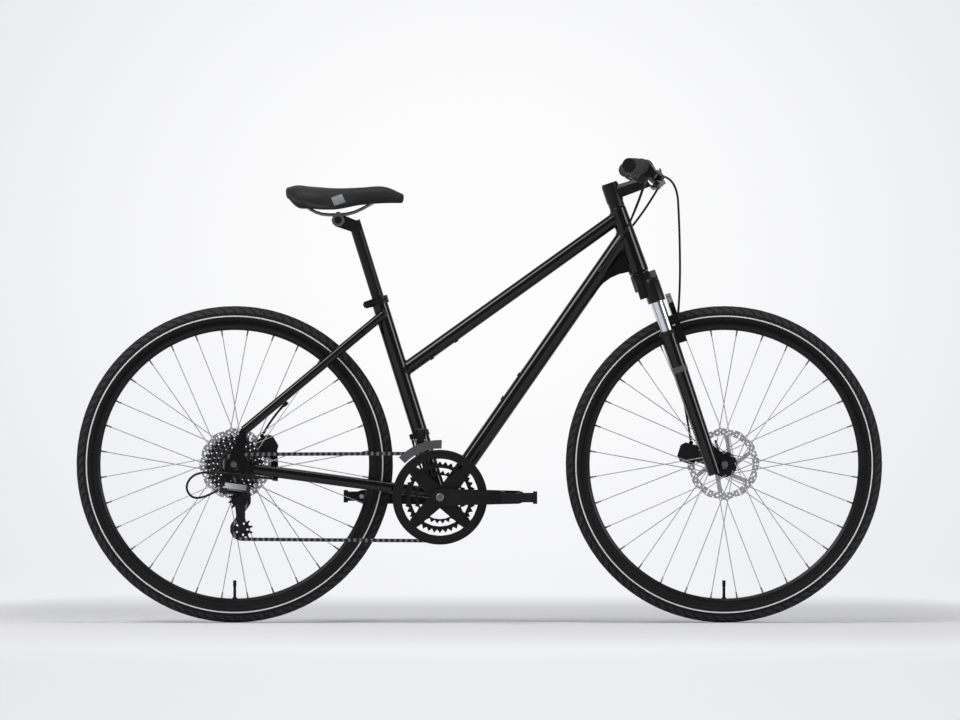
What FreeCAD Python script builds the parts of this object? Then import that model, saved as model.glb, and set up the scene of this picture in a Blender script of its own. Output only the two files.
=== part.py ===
import FreeCAD, Part
import math
import os

# A hybrid bike with a low sloping top tube, suspension fork, disc brakes and a three by eight drivetrain.
# Millimetres. +X is forward, +Y is the rider's left, +Z is up. The chain side is -Y.
# The origin is on the ground, midway between the two axles.

Vec = FreeCAD.Vector
ACROSS = Vec(0, 1, 0)
UP = Vec(0, 0, 1)
FORWARD = Vec(1, 0, 0)
FULL_TURN = 360.0

# Fits shared by the whole bike
running_fit = 0.05
seat_fit = 0.02
side_play = 0.3
overrun = 2.0

# Wheels
wheel_spread = 192.25
tyre_width = 42.0
rim_depth = 13.5
rim_wall_drop = 6.0
rim_seat_radius = 312.0
rim_edge_height = 5.0
tyre_height = 40.0
rim_width = 24.0
rim_bed_width = 12.0
rim_seat_width = 19.0
tyre_waist_share = 0.36
tyre_shoulder_share = 0.72
tyre_shoulder_width_share = 0.88
tread_width_share = 0.42
valve_radius = 3.0
valve_hole_radius = 3.3
valve_length = 42.0
valve_collar_radius = 6.0
spoke_radius = 1.0
spoke_sides = 4
spoke_flange_run = 10.0
spoke_count = 32
spoke_crosses = 3
spoke_holes_radius = 24.5
hub_flange_radius = 29.0
hub_flange_thickness = 3.2
hub_shell_radius = 14.0
hub_end_radius = 13.0
bearing_radius = 10.5
bearing_width = 8.0
axle_radius = 4.9
cone_play = 0.4
locknut_radius = 8.5

# Front hub, measured from the wheel's middle
front_hub_spacing = 100.0
front_flange_left = 23.0
front_flange_right = 34.0
front_rotor_side = 39.5
front_hub_left_end = 43.0
front_hub_right_end = 42.0

# Rear hub
rear_hub_spacing = 135.0
rear_flange_left = 33.0
rear_flange_right = 20.0
rear_rotor_side = 52.0
rear_hub_left_end = 57.5
rear_hub_right_end = 23.0

# Disc rotors
rotor_radius = 80.0
rotor_thickness = 1.8
rotor_wave = 2.2
rotor_waves = 12
rotor_band_share = 0.80
rotor_hub_radius = 28.0
rotor_bolt_radius = 22.0
rotor_arm_width = 9.0
rotor_arms = 6
rotor_arm_lean = 24.0
rotor_vent_radius = 3.2
rotor_vent_sides = 4
rotor_vents = 18

# Quick release axles
skewer_nut_radius = 9.0
skewer_nut_length = 12.0
skewer_lever_length = 52.0
skewer_lever_width = 9.0
skewer_lever_thickness = 5.0
skewer_head_radius = 8.5
skewer_head_length = 15.0
skewer_pin_radius = 2.5

# Frame
bracket_back = 87.5
bracket_drop = 72.5
bracket_shell_radius = 20.5
bracket_shell_width = 68.0
bracket_bore_radius = 17.0
seat_tilt = 17.3
seat_tube_length = 465.0
seat_tube_radius = 17.35
post_radius = 13.6
head_tilt = 18.6
fork_rake = 42.7
fork_over_tyre = 116.0
head_tube_length = 146.0
head_top_radius = 18.2
head_low_radius = 22.4
head_bore_radius = 16.8
top_tube_radius = 15.1
top_tube_drop = 16.0
down_tube_radius = 18.7
down_tube_rise = 86.0
down_tube_ahead = 8.0
tube_wall = 1.8
gusset_width = 22.0
gusset_reach = 118.0
gusset_low = 24.0
gusset_lip = 5.0
gusset_middle_share = 0.62
top_join_up = 290.0
boss_radius = 5.0
boss_hole_radius = 2.1
boss_height = 2.0
boss_depth = 8.0
boss_spacing = 64.0
down_boss_start = 255.0
top_boss_start = 74.0
top_boss_spacing = 66.0

# Rear triangle
chain_stay_height = 23.0
chain_stay_width = 15.0
chain_stay_start = 26.5
chain_stay_end = 68.0
chain_stay_rise = 6.0
chain_stay_end_ahead = 44.0
chain_stay_end_drop = 11.0
seat_stay_radius = 9.8
seat_stay_down = 40.0
seat_stay_start = 21.5
seat_stay_end = 69.5
seat_stay_end_ahead = 22.0
seat_stay_end_up = 76.0
seat_bridge_radius = 7.0
seat_bridge_short = 40.57
chain_bridge_radius = 8.0
chain_bridge_share = 0.15
stay_wall = 1.8
dropout_thickness = 6.0
dropout_radius = 15.0
hanger_back = 23.0
hanger_drop = 37.5
hanger_radius = 9.0
hanger_hole_radius = 4.6
rack_boss_share = 0.15
rack_boss_length = 4.0
rack_boss_radius = 5.5
eyelet_up = 34.0

# Headset, stem and spacers
steerer_radius = 14.3
headset_cup_height = 4.0
headset_skirt = 1.4
headset_depth = 12.0
spacer_height = 12.0
spacer_radius = 17.5
stem_clamp_height = 40.0
stem_clamp_radius = 19.0
stem_length = 99.5
stem_rise = 19.0
stem_body_height = 31.0
stem_body_width = 30.0
stem_neck_height = 25.0
stem_neck_width = 26.0
stem_bar_clamp_radius = 20.5
stem_bar_clamp_width = 46.0
stem_cap_height = 4.0
stem_split = 1.2

# Handlebar, grips and controls
bar_width = 620.0
bar_radius = 11.1
bar_clamp_radius = 15.9
bar_clamp_length = 60.0
bar_rise = 25.0
bar_sweep = 61.0
bar_flat_half = 42.0
bar_bend_half = 108.0
bar_bend_share = 0.25
bar_wall = 2.2
grip_length = 128.0
grip_radius = 16.5
grip_end_radius = 17.5
grip_end_length = 7.0

# Fork
crown_top = 8.0
crown_centre_depth = 44.0
crown_leg_depth = 78.0
crown_leg_radius = 19.0
crown_front = 35.0
crown_back = 16.0
crown_shoulder = 24.0
leg_spread = 59.0
leg_ahead = 16.7
stanchion_radius = 14.0
stanchion_wall = 2.0
stanchion_low = 300.0
fork_travel = 63.0
lower_top = 147.0
lower_past_axle = 14.0
lower_radius = 17.3
lower_foot_radius = 14.5
lower_seal_radius = 18.6
lower_seal_height = 12.0
arch_ahead = 34.0
arch_thickness = 12.0
arch_height = 24.0
arch_up = 68.0
arch_foot = 34.0
arch_clear = 2.2
fork_drop_radius = 15.0
fork_drop_thickness = 7.0
fork_post_height = 20.0
spring_radius = 11.0
spring_wall = 3.0
spring_low = 205.0
fork_rod_radius = 5.0
fork_rod_head = 6.0

# Seat clamp, seatpost and saddle
seat_collar_height = 17.0
seat_collar_wall = 4.0
seat_collar_lug = 11.0
seat_lever_length = 44.0
post_length = 300.0
post_visible = 178.0
post_wall = 2.6
post_head_back = 33.0
post_head_up = 12.0
post_clamp_radius = 15.0
post_clamp_width = 56.0
rail_radius = 3.5
rail_spread = 22.0

# Drivetrain
chain_pitch = 12.7
chain_roller_radius = 3.85
chain_roller_half = 1.2
chain_inner_half = 1.25
chain_plate_thickness = 1.0
chain_plate_gap = 0.1
chain_plate_half_height = 3.9
chain_plate_reach = 3.9
ring_teeth = (48, 38, 28)
ring_sides = (57.6, 50.0, 42.4)
ring_bores = (85.0, 64.5, 48.5)
cog_teeth = (11, 13, 15, 18, 21, 24, 28, 32)
cog_spacing = 4.8
first_cog_side = 62.0
sprocket_thickness = 1.8
roller_clearance = 0.12
tooth_flank = 60.0
tooth_height = 2.2
idle_tooth_height = 3.0
idle_root_depth = 4.6
freehub_radius = 17.0
lockring_thickness = 2.4
pulley_teeth = 11
pulley_thickness = 2.1
pulley_bore_radius = 4.0

# Cranks, chain guard and pedals
crank_length = 175.0
crank_boss_radius = 19.0
crank_end_radius = 14.5
crank_thickness = 13.0
crank_side = 67.0
crank_left_side = 60.0
crank_groove_width = 5.0
crank_groove_depth = 1.5
crank_groove_start_share = 0.28
crank_groove_end_share = 0.62
spindle_radius = 8.5
spindle_end_radius = 7.0
spider_arms = 4
spider_arm_width = 24.0
spider_reach = 91.0
ring_post_radius = 5.0
ring_post_circle = 51.5
guard_radius = 105.0
guard_bore = 85.5
guard_side = 62.4
guard_thickness = 2.6
guard_lip = 4.0
guard_lip_width = 1.6
guard_tab_reach = 72.0
guard_tab_width = 22.0
guard_post_radius = 4.0
pedal_axle_radius = 5.0
pedal_length = 81.0
pedal_height = 27.0
pedal_width = 92.0
pedal_barrel_radius = 11.0
pedal_bar = 9.0
pedal_gap = 5.0

# Rear derailleur
guide_ahead = 11.7
guide_drop = 78.0
pulley_distance = 65.5
shift_slant = 31.0
shift_pitch = 12.0
shift_link_length = 44.0
shift_link_start = -10.0
shift_link_spacing = 15.0
shift_link_half = 7.0
shift_eye_radius = 4.4
shift_pin_radius = 2.0
shift_lug = 3.0
shift_web_near = 6.0
shift_web_far = 12.0
shift_side = 82.0
shift_pivot_back = 19.0
shift_pivot_drop = 52.0
knuckle_radius = 8.0
knuckle_length = 8.0
cage_plate_thickness = 2.0
cage_plate_gap = 8.4
cage_plate_radius = 11.0
cage_waist = 8.0
cage_boss_radius = 9.0

# Front derailleur
band_up = 146.0
band_height = 13.0
band_wall = 2.6
mech_link_length = 25.0
mech_swing = 18.0
mech_pivot_radius = 2.5
mech_eye_radius = 5.0
mech_link_width = 22.0
mech_side = 12.6
mech_cage_gap = 5.2
mech_cage_thickness = 1.4
mech_cage_start = 88.0
mech_cage_end = 136.0
mech_cage_clear = 3.0
mech_cage_height = 19.0

# Disc calipers, seen from the side in the wheel's own circle
caliper_half_width = 13.5
caliper_length = 44.0
caliper_height = 42.0
caliper_slot = 5.6
pad_clear = 0.35
pad_length = 22.0
pad_height = 18.0
front_caliper_angle = 163.0
rear_caliper_angle = 30.0

# Brake and shift controls on the bar, measured from the bar's end and its axis
control_pitch = 38.0
brake_clamp_from_end = 152.0
brake_clamp_width = 15.0
brake_clamp_radius = 16.0
brake_body_length = 62.0
brake_body_radius = 9.0
brake_body_out = 26.0
brake_pivot_out = 44.0
brake_pivot_radius = 3.0
brake_blade_reach = 92.0
brake_blade_out = 64.0
brake_blade_height = 11.0
brake_blade_thickness = 6.0
pod_from_end = 176.0
pod_width = 30.0
pod_height = 17.0
pod_drop = 15.0
pod_clamp_width = 12.0
thumb_lever_length = 34.0
thumb_lever_width = 11.0
thumb_lever_thickness = 4.0
thumb_pivot_radius = 3.0

# Hoses and housings
hose_radius = 2.5
cord_sides = 5
cord_gap = 0.4
cord_slant_gap = 1.9
bend_share = 0.45

# Small sizes of the frame's joints and the quick releases
skewer_eye_out = 9.0
rear_lever_lean = 45.0
skewer_head_floor = 2.0
skewer_pin_share = 0.85
dropout_neck_share = 0.8
dropout_slot_lean = 25.0
eyelet_angle = 74.0
seat_stay_cap_share = 0.45
stay_hollow_share = 0.93
boss_thread = 10.0
caliper_reach = 3.0
caliper_tab_share = 0.3
caliper_tab_root_share = 0.9
bracket_cup_flange = 3.0
seat_barrel_half = 18.0
seat_barrel_radius = 6.0

# Small sizes of the fork and stem
crown_side_share = 0.8
crown_arch_half = 34.0
crown_cap = 9.0
steerer_wall = 2.4
stanchion_top = 40.0
stanchion_cap = 6.0
arch_foot_share = 0.8
arch_shoulder_share = 0.55
arch_under_share = 0.3
fork_web_up = 62.0
stem_corner_share = 0.28
stem_split_ahead = 4.0
bar_taper_share = 0.95
grip_cap = 4.0

# Small sizes of the seatpost, rails and saddle, measured from the saddle clamp
post_head_width = 24.0
post_barrel_radius = 8.0
rail_up = 12.0
rail_rear = 84.0
rail_rear_bend = 44.0
rail_front_bend = 30.0
rail_front = 84.0
rail_sink = 7.0
rail_rear_spread = 32.0
rail_nose_spread = 12.0
rail_block_share = 2.0
saddle_base_up = 32.0
saddle_nose_base_up = 36.0
saddle_places = (-111.0, -96.0, -60.0, -10.0, 50.0, 110.0, 140.0)
saddle_widths = (96.0, 138.0, 168.0, 130.0, 62.0, 42.0, 26.0)
saddle_edges = (58.0, 48.0, 34.0, 30.0, 42.0, 46.0, 42.0)
saddle_crowns = (70.0, 72.0, 69.0, 66.0, 66.0, 64.0, 50.0)
saddle_base_widths = (70.0, 96.0, 110.0, 84.0, 40.0, 26.0, 14.0)
saddle_bases = (48.0, 32.0, 26.0, 24.0, 34.0, 38.0, 38.0)

# Small sizes of the drivetrain
pitch_search = 0.2
search_steps = 34
cage_angle_range = (-100.0, -70.0)
roller_sides = 5
spindle_shoulder = 45.0
pedal_collar_share = 0.7
pedal_end_share = 0.75
cage_pin_radius = 5.0
cage_strut_share = 0.5
cage_strut_back = 9.5
cage_strut_radius = 2.0
knuckle_flange = 6.0
shift_arm_extra = 6.0
shift_arm_radius = 6.0
shift_web_extra = 10.0
mech_drop = 15.0
mech_link_half = 8.0
mech_cage_steps = 6
mech_ear_drop = 14.0
mech_bridge_end = 116.0

# Small sizes of the calipers, controls, stops and cable runs
caliper_corner_share = 0.22
banjo_radius = 5.0
banjo_out = 6.0
brake_ear = 3.0
brake_eye_radius = 7.0
brake_elbow_share = 0.35
brake_tip_radius = 5.5
pod_ahead = 8.0
thumb_reach = -20.0
stop_back = 20.6
stop_stand = 3.3
stop_radius = 4.5
stop_length = 12.0
stop_along = 620.0
stop_lift = 6.5
stop_lead = 32.0
stop_lead_out = 4.0
seat_stop_up = 62.0
seat_cable_bow = 4.0
cable_lead = 45.0
cable_head_share = 0.75
cable_head_side = 32.0
cable_left_out = 12.0
hose_fall = 12.0
hose_under = 34.0
hose_ahead = 18.0
hose_leg_gap = 8.0
hose_first = 24.0
hose_first_ahead = 38.0
front_hose_ups = (60.0, -75.0, -200.0, -330.0)
front_hose_aheads = (118.0, 74.0, 18.0, 2.0)
front_hose_shares = (0.95, 0.93, 1.0, 1.0)
rd_entry_low = 8.0
rd_lead = 38.0
rd_lead_out = 14.0
rd_loop_backs = (8.0, 66.0, 88.0, 58.0)
rd_loop_ups = (20.0, 20.0, -16.0, -46.0)
stay_stop_share = 0.9
seat_stay_stop_share = 0.75
rear_hose_lead = 34.0
rear_hose_fall = 6.0

# How finely round pieces are made
small_round = 9.0
small_sides = 8
middle_sides = 14
large_round = 40.0
large_sides = 24
wheel_round = 200.0
wheel_sides = 40
arc_steps = 5
bend_steps = 3
bar_sides = 10
rail_sides = 8
saddle_steps = 8
saddle_fullness = 0.8
gusset_steps = 5
axis_share = 0.9

# Directions and places that the values above give
tyre_radius = rim_seat_radius + tyre_height
wheel_base = 2 * (tyre_radius + wheel_spread)
fork_length = tyre_radius + fork_over_tyre
lower_bottom = fork_length + lower_past_axle
rim_edge_radius = rim_seat_radius + rim_edge_height
rim_wall_radius = rim_seat_radius - rim_wall_drop
rim_bed_radius = rim_seat_radius - rim_depth
head_lean = math.radians(head_tilt)
seat_lean = math.radians(seat_tilt)
steer_up = Vec(-math.sin(head_lean), 0, math.cos(head_lean))
steer_front = Vec(math.cos(head_lean), 0, math.sin(head_lean))
seat_up = Vec(-math.sin(seat_lean), 0, math.cos(seat_lean))
front_axle = Vec(wheel_base / 2, 0, tyre_radius)
rear_axle = Vec(-wheel_base / 2, 0, tyre_radius)
bracket = Vec(-bracket_back, 0, tyre_radius - bracket_drop)
head_low = front_axle + steer_up * fork_length - steer_front * fork_rake
seat_front = Vec(math.cos(seat_lean), 0, math.sin(seat_lean))
lever_lean = math.radians(rear_lever_lean)
rear_lever_way = Vec(-math.sin(lever_lean), 0, math.cos(lever_lean))
stem_low = head_tube_length + headset_cup_height + side_play + spacer_height
steerer_top = stem_low + stem_clamp_height - overrun
spider_outer = ring_sides[0] - sprocket_thickness / 2 - seat_fit
spider_inner = ring_sides[1] + sprocket_thickness / 2 + seat_fit


def head_point(up, front=0, side=0):
    """A point given along the steering axis, ahead of it and to the left, from the head tube's lower end."""
    return head_low + steer_up * up + steer_front * front + ACROSS * side


def seat_point(up, back=0, side=0):
    """A point given along the seat tube from the bottom bracket, behind it and to the left."""
    behind = Vec(-math.cos(seat_lean), 0, -math.sin(seat_lean))
    return bracket + seat_up * up + behind * back + ACROSS * side


def on_circle(centre, radius, angle, side=0):
    """A point on a circle seen from the right side, its angle in degrees counted from forward to up."""
    turn = math.radians(angle)
    return centre + Vec(radius * math.cos(turn), side, radius * math.sin(turn))


def sides_for(radius):
    """How many flat sides a round piece of this radius gets."""
    if radius > wheel_round:
        return wheel_sides
    if radius > large_round:
        return large_sides
    return small_sides if radius <= small_round else middle_sides


def flat_bar(start, end, radius, sides):
    """A straight bar with flat sides, its corners on the given radius."""
    along = (end - start).normalize()
    first = along.cross(UP if abs(along.dot(ACROSS)) > abs(along.dot(UP)) else ACROSS).normalize()
    second = along.cross(first)
    corners = []
    for number in range(sides):
        turn = 2 * math.pi * number / sides
        corners.append(start + (first * math.cos(turn) + second * math.sin(turn)) * radius)
    return prism(corners, end - start)


def rod(start, end, radius):
    """A round bar of fine flat sides that lies inside its radius."""
    return flat_bar(start, end, radius, sides_for(radius))


def bore(start, end, radius):
    """The cutter for a round hole, of fine flat sides that lie outside its radius."""
    sides = sides_for(radius)
    return flat_bar(start, end, radius / math.cos(math.pi / sides), sides)


def pipe(start, end, radius):
    """A truly round bar between two points."""
    return Part.makeCylinder(radius, (end - start).Length, start, end - start)


def tube(start, end, radius, inside):
    """A round tube between two points."""
    return rod(start, end, radius).cut(bore(start, end, inside))


def cone(start, end, start_radius, end_radius):
    """A tapered round bar between two points, of fine flat sides."""
    along = end - start
    return revolved([(0, 0), (0, start_radius), (1, end_radius), (1, 0)], start, along)


def flat_face(points):
    """The flat face inside an outline."""
    return Part.Face(Part.makePolygon(points + points[:1]))


def prism(points, thickness):
    """A flat outline pushed along a vector."""
    return flat_face(points).extrude(thickness)


def skinned(rings, split):
    """A closed solid through rings of corners; split walls are triangles, others are flat quads."""
    faces = [flat_face(rings[0]), flat_face(rings[-1])]
    for low, high in zip(rings, rings[1:]):
        for here in range(len(low)):
            there = here - 1
            if split:
                faces.append(flat_face([low[there], low[here], high[here]]))
                faces.append(flat_face([low[there], high[here], high[there]]))
            else:
                faces.append(flat_face([low[there], low[here], high[here], high[there]]))
    solid = Part.Solid(Part.Shell(faces))
    return solid if solid.Volume > 0 else solid.reversed()


def revolved(profile, base, axis):
    """A turned solid of flat facets; the profile holds (distance along the axis, radius) pairs.

    A pair with a third item is the wall of a hole, and its flats lie outside the radius.
    """
    sides = sides_for(max(spot[1] for spot in profile))
    first = axis.cross(UP if abs(axis.dot(ACROSS)) > abs(axis.dot(UP)) else ACROSS).normalize()
    second = axis.cross(first).normalize()
    rings = []
    for number in range(sides):
        turn = 2 * math.pi * number / sides
        out = first * math.cos(turn) + second * math.sin(turn)
        wide = 1 / math.cos(math.pi / sides)
        reaches = [spot[1] * (wide if len(spot) > 2 else 1) for spot in profile]
        rings.append([base + axis * spot[0] + out * reach for spot, reach in zip(profile, reaches)])
    faces = []
    for number in range(sides):
        here, there = rings[number], rings[(number + 1) % sides]
        for spot in range(len(profile)):
            after = (spot + 1) % len(profile)
            corners = [here[spot], here[after], there[after], there[spot]]
            gaps = [(corner - corners[place - 1]).Length for place, corner in enumerate(corners)]
            corners = [corner for corner, gap in zip(corners, gaps) if gap > 0]
            if len(corners) > 2:
                faces.append(flat_face(corners))
    solid = Part.Solid(Part.Shell(faces))
    return solid if solid.Volume > 0 else solid.reversed()


def ring(base, axis, low, high, inside, radius):
    """A plain turned ring."""
    return revolved([(low, inside, True), (high, inside, True), (high, radius), (low, radius)], base, axis)


def link_plate(start, end, start_radius, end_radius, thickness):
    """A plate round two centres, with rounded ends joined by straight tangents, pushed along a vector."""
    along = end - start
    span = along.Length
    along = along.normalize()
    beside = Vec(thickness).normalize().cross(along)
    sine = (start_radius - end_radius) / span

    turn = math.acos(sine)
    points = []
    ends = ((end, end_radius, turn, -turn), (start, start_radius, -turn, turn - 2 * math.pi))
    for centre, radius, first, last in ends:
        for step in range(arc_steps + 1):
            angle = first + (last - first) * step / arc_steps
            points.append(centre + (along * math.cos(angle) + beside * math.sin(angle)) * radius)
    return prism(points, thickness)


def fused(pieces):
    """One solid from pieces that meet."""
    whole = pieces[0].fuse(pieces[1:]) if len(pieces) > 1 else pieces[0]
    return whole.removeSplitter()


def mirrored(shape):
    """The same piece on the other side of the bike."""
    return shape.mirror(Vec(0, 0, 0), ACROSS)


def save(node, *pieces):
    """Writes the solids of one node, after testing each."""
    solids = [solid for piece in pieces for solid in piece.Solids]
    for number, solid in enumerate(solids):
        if not solid.isValid() or solid.Volume <= 0:
            raise ValueError(f"{node} solid {number} is not sound")
    Part.makeCompound(solids).exportStep(f"parts/{node}.step")


def tyre(axle):
    """Tyre seated between the rim's edges, with its tube's valve at the bottom of the wheel."""
    half = tyre_width / 2
    depth = tyre_radius - rim_edge_radius
    right = [
        (rim_seat_width / 2 - seat_fit, rim_seat_radius + seat_fit),
        (rim_width / 2 - seat_fit, rim_edge_radius + seat_fit),
        (half, rim_edge_radius + depth * tyre_waist_share),
        (half * tyre_shoulder_width_share, rim_edge_radius + depth * tyre_shoulder_share),
        (half * tread_width_share, tyre_radius),
    ]
    left = [(-side, radius) for side, radius in reversed(right)]
    body = revolved(right + left, axle, ACROSS)
    top = axle - UP * (rim_seat_radius + overrun)
    stem = rod(top, top + UP * valve_length, valve_radius)
    collar_low = axle - UP * (rim_bed_radius - side_play)
    collar = cone(collar_low, collar_low + UP * valve_collar_radius, valve_collar_radius, valve_radius)
    return fused([body, stem, collar])


def rim(axle):
    """Rim with a flat spoke bed, sloping walls and a seat for the tyre, drilled for the valve."""
    right = [
        (rim_bed_width / 2, rim_bed_radius),
        (rim_width / 2, rim_wall_radius),
        (rim_width / 2, rim_edge_radius),
        (rim_seat_width / 2, rim_seat_radius),
    ]
    left = [(-side, radius) for side, radius in reversed(right)]
    body = revolved(right + left, axle, ACROSS)
    hole_end = axle - UP * (rim_edge_radius + overrun)
    hole_start = axle - UP * (rim_bed_radius - overrun)
    return body.cut(bore(hole_start, hole_end, valve_hole_radius))


def spokes(axle, left_flange, right_flange):
    """Crossed spokes, half to each flange, half of those on its outer face."""
    step = FULL_TURN / spoke_count
    lean = 2 * spoke_crosses * step
    beside = hub_flange_thickness / 2 + spoke_radius + seat_fit
    reach = rim_bed_radius * math.cos(math.pi / sides_for(rim_edge_radius)) - side_play
    bars = []
    for number in range(spoke_count):
        side = left_flange if number % 2 else -right_flange
        outer = 1 if number // 2 % 2 else -1
        outward = outer if number % 2 else -outer
        rim_angle = (number + 1 / 2) * step
        slope = (abs(side) + beside) / (rim_bed_radius - spoke_holes_radius)
        away = beside + slope * spoke_flange_run if outer > 0 else beside
        start = on_circle(axle, spoke_holes_radius, rim_angle + lean * outer, side + outward * away)
        end = on_circle(axle, reach, rim_angle)
        bars.append(flat_bar(start, end, spoke_radius, spoke_sides))
    return Part.makeCompound(bars)


def hub(axle, left_end, right_end, left_flange, right_flange, rotor_side):
    """Hub shell with two flanges, a rotor seat on the left and a bearing pocket at each end."""
    half = hub_flange_thickness / 2
    pocket = bearing_radius + running_fit
    rotor_face = rotor_side - rotor_thickness / 2
    profile = [
        (-right_end, pocket, True),
        (bearing_width - right_end, pocket, True),
        (bearing_width - right_end, axle_radius),
        (left_end - bearing_width, axle_radius),
        (left_end - bearing_width, pocket, True),
        (left_end, pocket, True),
        (left_end, hub_end_radius),
        (rotor_face, hub_end_radius),
        (rotor_face, rotor_bolt_radius),
        (left_flange + half, hub_shell_radius),
        (left_flange + half, hub_flange_radius),
        (left_flange - half, hub_flange_radius),
        (left_flange - half, hub_shell_radius),
        (half - right_flange, hub_shell_radius),
        (half - right_flange, hub_flange_radius),
        (-half - right_flange, hub_flange_radius),
        (-half - right_flange, hub_end_radius),
        (-right_end, hub_end_radius),
    ]
    passage = pipe(axle - ACROSS * right_end, axle + ACROSS * left_end, axle_radius + overrun)
    return revolved(profile, axle, ACROSS).cut(passage)


def axle_with_cones(axle, spacing, left_end, right_end, left_grip, right_grip):
    """Axle, bearing cones and locknuts as one turned piece, with the threaded ends past the dropouts."""
    left_cone = left_end - bearing_width + cone_play
    right_cone = right_end - bearing_width + cone_play
    profile = [
        (-spacing / 2 - right_grip, 0),
        (spacing / 2 + left_grip, 0),
        (spacing / 2 + left_grip, axle_radius),
        (spacing / 2, axle_radius),
        (spacing / 2, locknut_radius),
        (left_end, locknut_radius),
        (left_end, bearing_radius),
        (left_cone, bearing_radius),
        (left_cone, axle_radius),
        (-right_cone, axle_radius),
        (-right_cone, bearing_radius),
        (-right_end, bearing_radius),
        (-right_end, locknut_radius),
        (-spacing / 2, locknut_radius),
        (-spacing / 2, axle_radius),
        (-spacing / 2 - right_grip, axle_radius),
    ]
    return revolved(profile, axle, ACROSS)


def rotor(axle, side):
    """Disc rotor: waved braking band with vents, leaning arms and a ring on the hub."""
    low = side - rotor_thickness / 2
    high = side + rotor_thickness / 2
    dips = (0, 0, rotor_wave, rotor_wave)
    count = rotor_waves * len(dips)
    outline = []
    for number in range(count):
        spot = on_circle(axle, rotor_radius - dips[number % len(dips)], FULL_TURN * number / count, low)
        outline.append(spot)
    disc = prism(outline, ACROSS * rotor_thickness)
    band_inner = rotor_radius * rotor_band_share
    middle = axle + ACROSS * side
    disc = disc.cut(bore(middle - ACROSS * overrun, middle + ACROSS * overrun, band_inner))
    vent_circle = (rotor_radius - rotor_wave + band_inner) / 2
    vents = []
    for number in range(rotor_vents):
        centre = on_circle(axle, vent_circle, FULL_TURN * number / rotor_vents, low - overrun)
        corners = [
            on_circle(centre, rotor_vent_radius, FULL_TURN * corner / rotor_vent_sides)
            for corner in range(rotor_vent_sides)
        ]
        vents.append(prism(corners, ACROSS * (rotor_thickness + 2 * overrun)))
    disc = disc.cut(vents)
    pieces = [disc, ring(axle, ACROSS, low, high, hub_end_radius + seat_fit, rotor_hub_radius)]
    for number in range(rotor_arms):
        angle = FULL_TURN * number / rotor_arms
        inner = on_circle(axle, rotor_hub_radius - overrun, angle, low)
        outer = on_circle(axle, band_inner + overrun, angle + rotor_arm_lean, low)
        beside = (outer - inner).normalize().cross(ACROSS) * (rotor_arm_width / 2)
        arm = [inner - beside, outer - beside, outer + beside, inner + beside]
        pieces.append(prism(arm, ACROSS * rotor_thickness))
    return fused(pieces)


def skewer_nut(axle, side):
    """Round nut with a shoulder, outside the right dropout."""
    face = axle - ACROSS * side
    return revolved(
        [
            (0, axle_radius + seat_fit, True),
            (0, skewer_nut_radius),
            (-skewer_nut_length / 2, skewer_nut_radius),
            (-skewer_nut_length, axle_radius + overrun),
            (-skewer_nut_length, axle_radius + seat_fit, True),
        ],
        face,
        ACROSS,
    )


def skewer_head(face, side_way, lever_way):
    """Slotted head of a quick release with its cross pin, standing on a face."""
    centre = face + side_way * skewer_eye_out
    across = side_way.cross(lever_way)
    head = rod(face, face + side_way * skewer_head_length, skewer_head_radius)
    half = skewer_lever_thickness / 2 + side_play
    floor = face + side_way * skewer_head_floor - across * half - lever_way * (2 * skewer_head_radius)
    length = lever_way * (4 * skewer_head_radius)
    height = side_way * (2 * skewer_head_length)
    slot = prism([floor, floor + length, floor + length + height, floor + height], across * (2 * half))
    pin_half = across * (skewer_head_radius * skewer_pin_share)
    return fused([head.cut(slot), pipe(centre - pin_half, centre + pin_half, skewer_pin_radius)])


def skewer_lever(face, side_way, lever_way, length):
    """Closing lever with a round eye on the head's pin and a tapered blade."""
    centre = face + side_way * skewer_eye_out
    across = side_way.cross(lever_way)
    start = centre - across * (skewer_lever_thickness / 2)
    tip = start + lever_way * length
    eye = skewer_eye_out - skewer_head_floor - side_play
    blade = link_plate(start, tip, eye, skewer_lever_width / 2, across * skewer_lever_thickness)
    reach = across * skewer_head_radius
    return blade.cut(bore(centre - reach, centre + reach, skewer_pin_radius + running_fit))


def tube_ends():
    """End points of the frame's main tubes."""
    return {
        "seat": (bracket, seat_point(seat_tube_length)),
        "top": (seat_point(top_join_up), head_point(head_tube_length - top_tube_drop)),
        "down": (bracket + FORWARD * down_tube_ahead, head_point(down_tube_rise)),
        "shell": (bracket - ACROSS * (bracket_shell_width / 2), bracket + ACROSS * (bracket_shell_width / 2)),
    }


def lengthened(ends, extra):
    """The same stretch made longer at both ends."""
    along = (ends[1] - ends[0]).normalize() * extra
    return ends[0] - along, ends[1] + along


def boss_places(start, way, normal, first, spacing, radius):
    """Base points of two bottle bosses along a tube, on its skin."""
    return [start + way * (first + spacing * number) + normal * radius for number in range(2)]


def bottle_bosses():
    """Each bottle boss as (point on the tube's skin, outward direction)."""
    ends = tube_ends()
    down_way = (ends["down"][1] - ends["down"][0]).normalize()
    top_way = (ends["top"][1] - ends["top"][0]).normalize()
    above = Vec(-down_way.z, 0, down_way.x)
    below = Vec(top_way.z, 0, -top_way.x)
    places = [
        (spot, above)
        for spot in boss_places(
            ends["down"][0], down_way, above, down_boss_start, boss_spacing, down_tube_radius)
    ]
    places += [
        (spot, below)
        for spot in boss_places(
            ends["top"][0], top_way, below, top_boss_start, top_boss_spacing, top_tube_radius)
    ]
    return places


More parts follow.
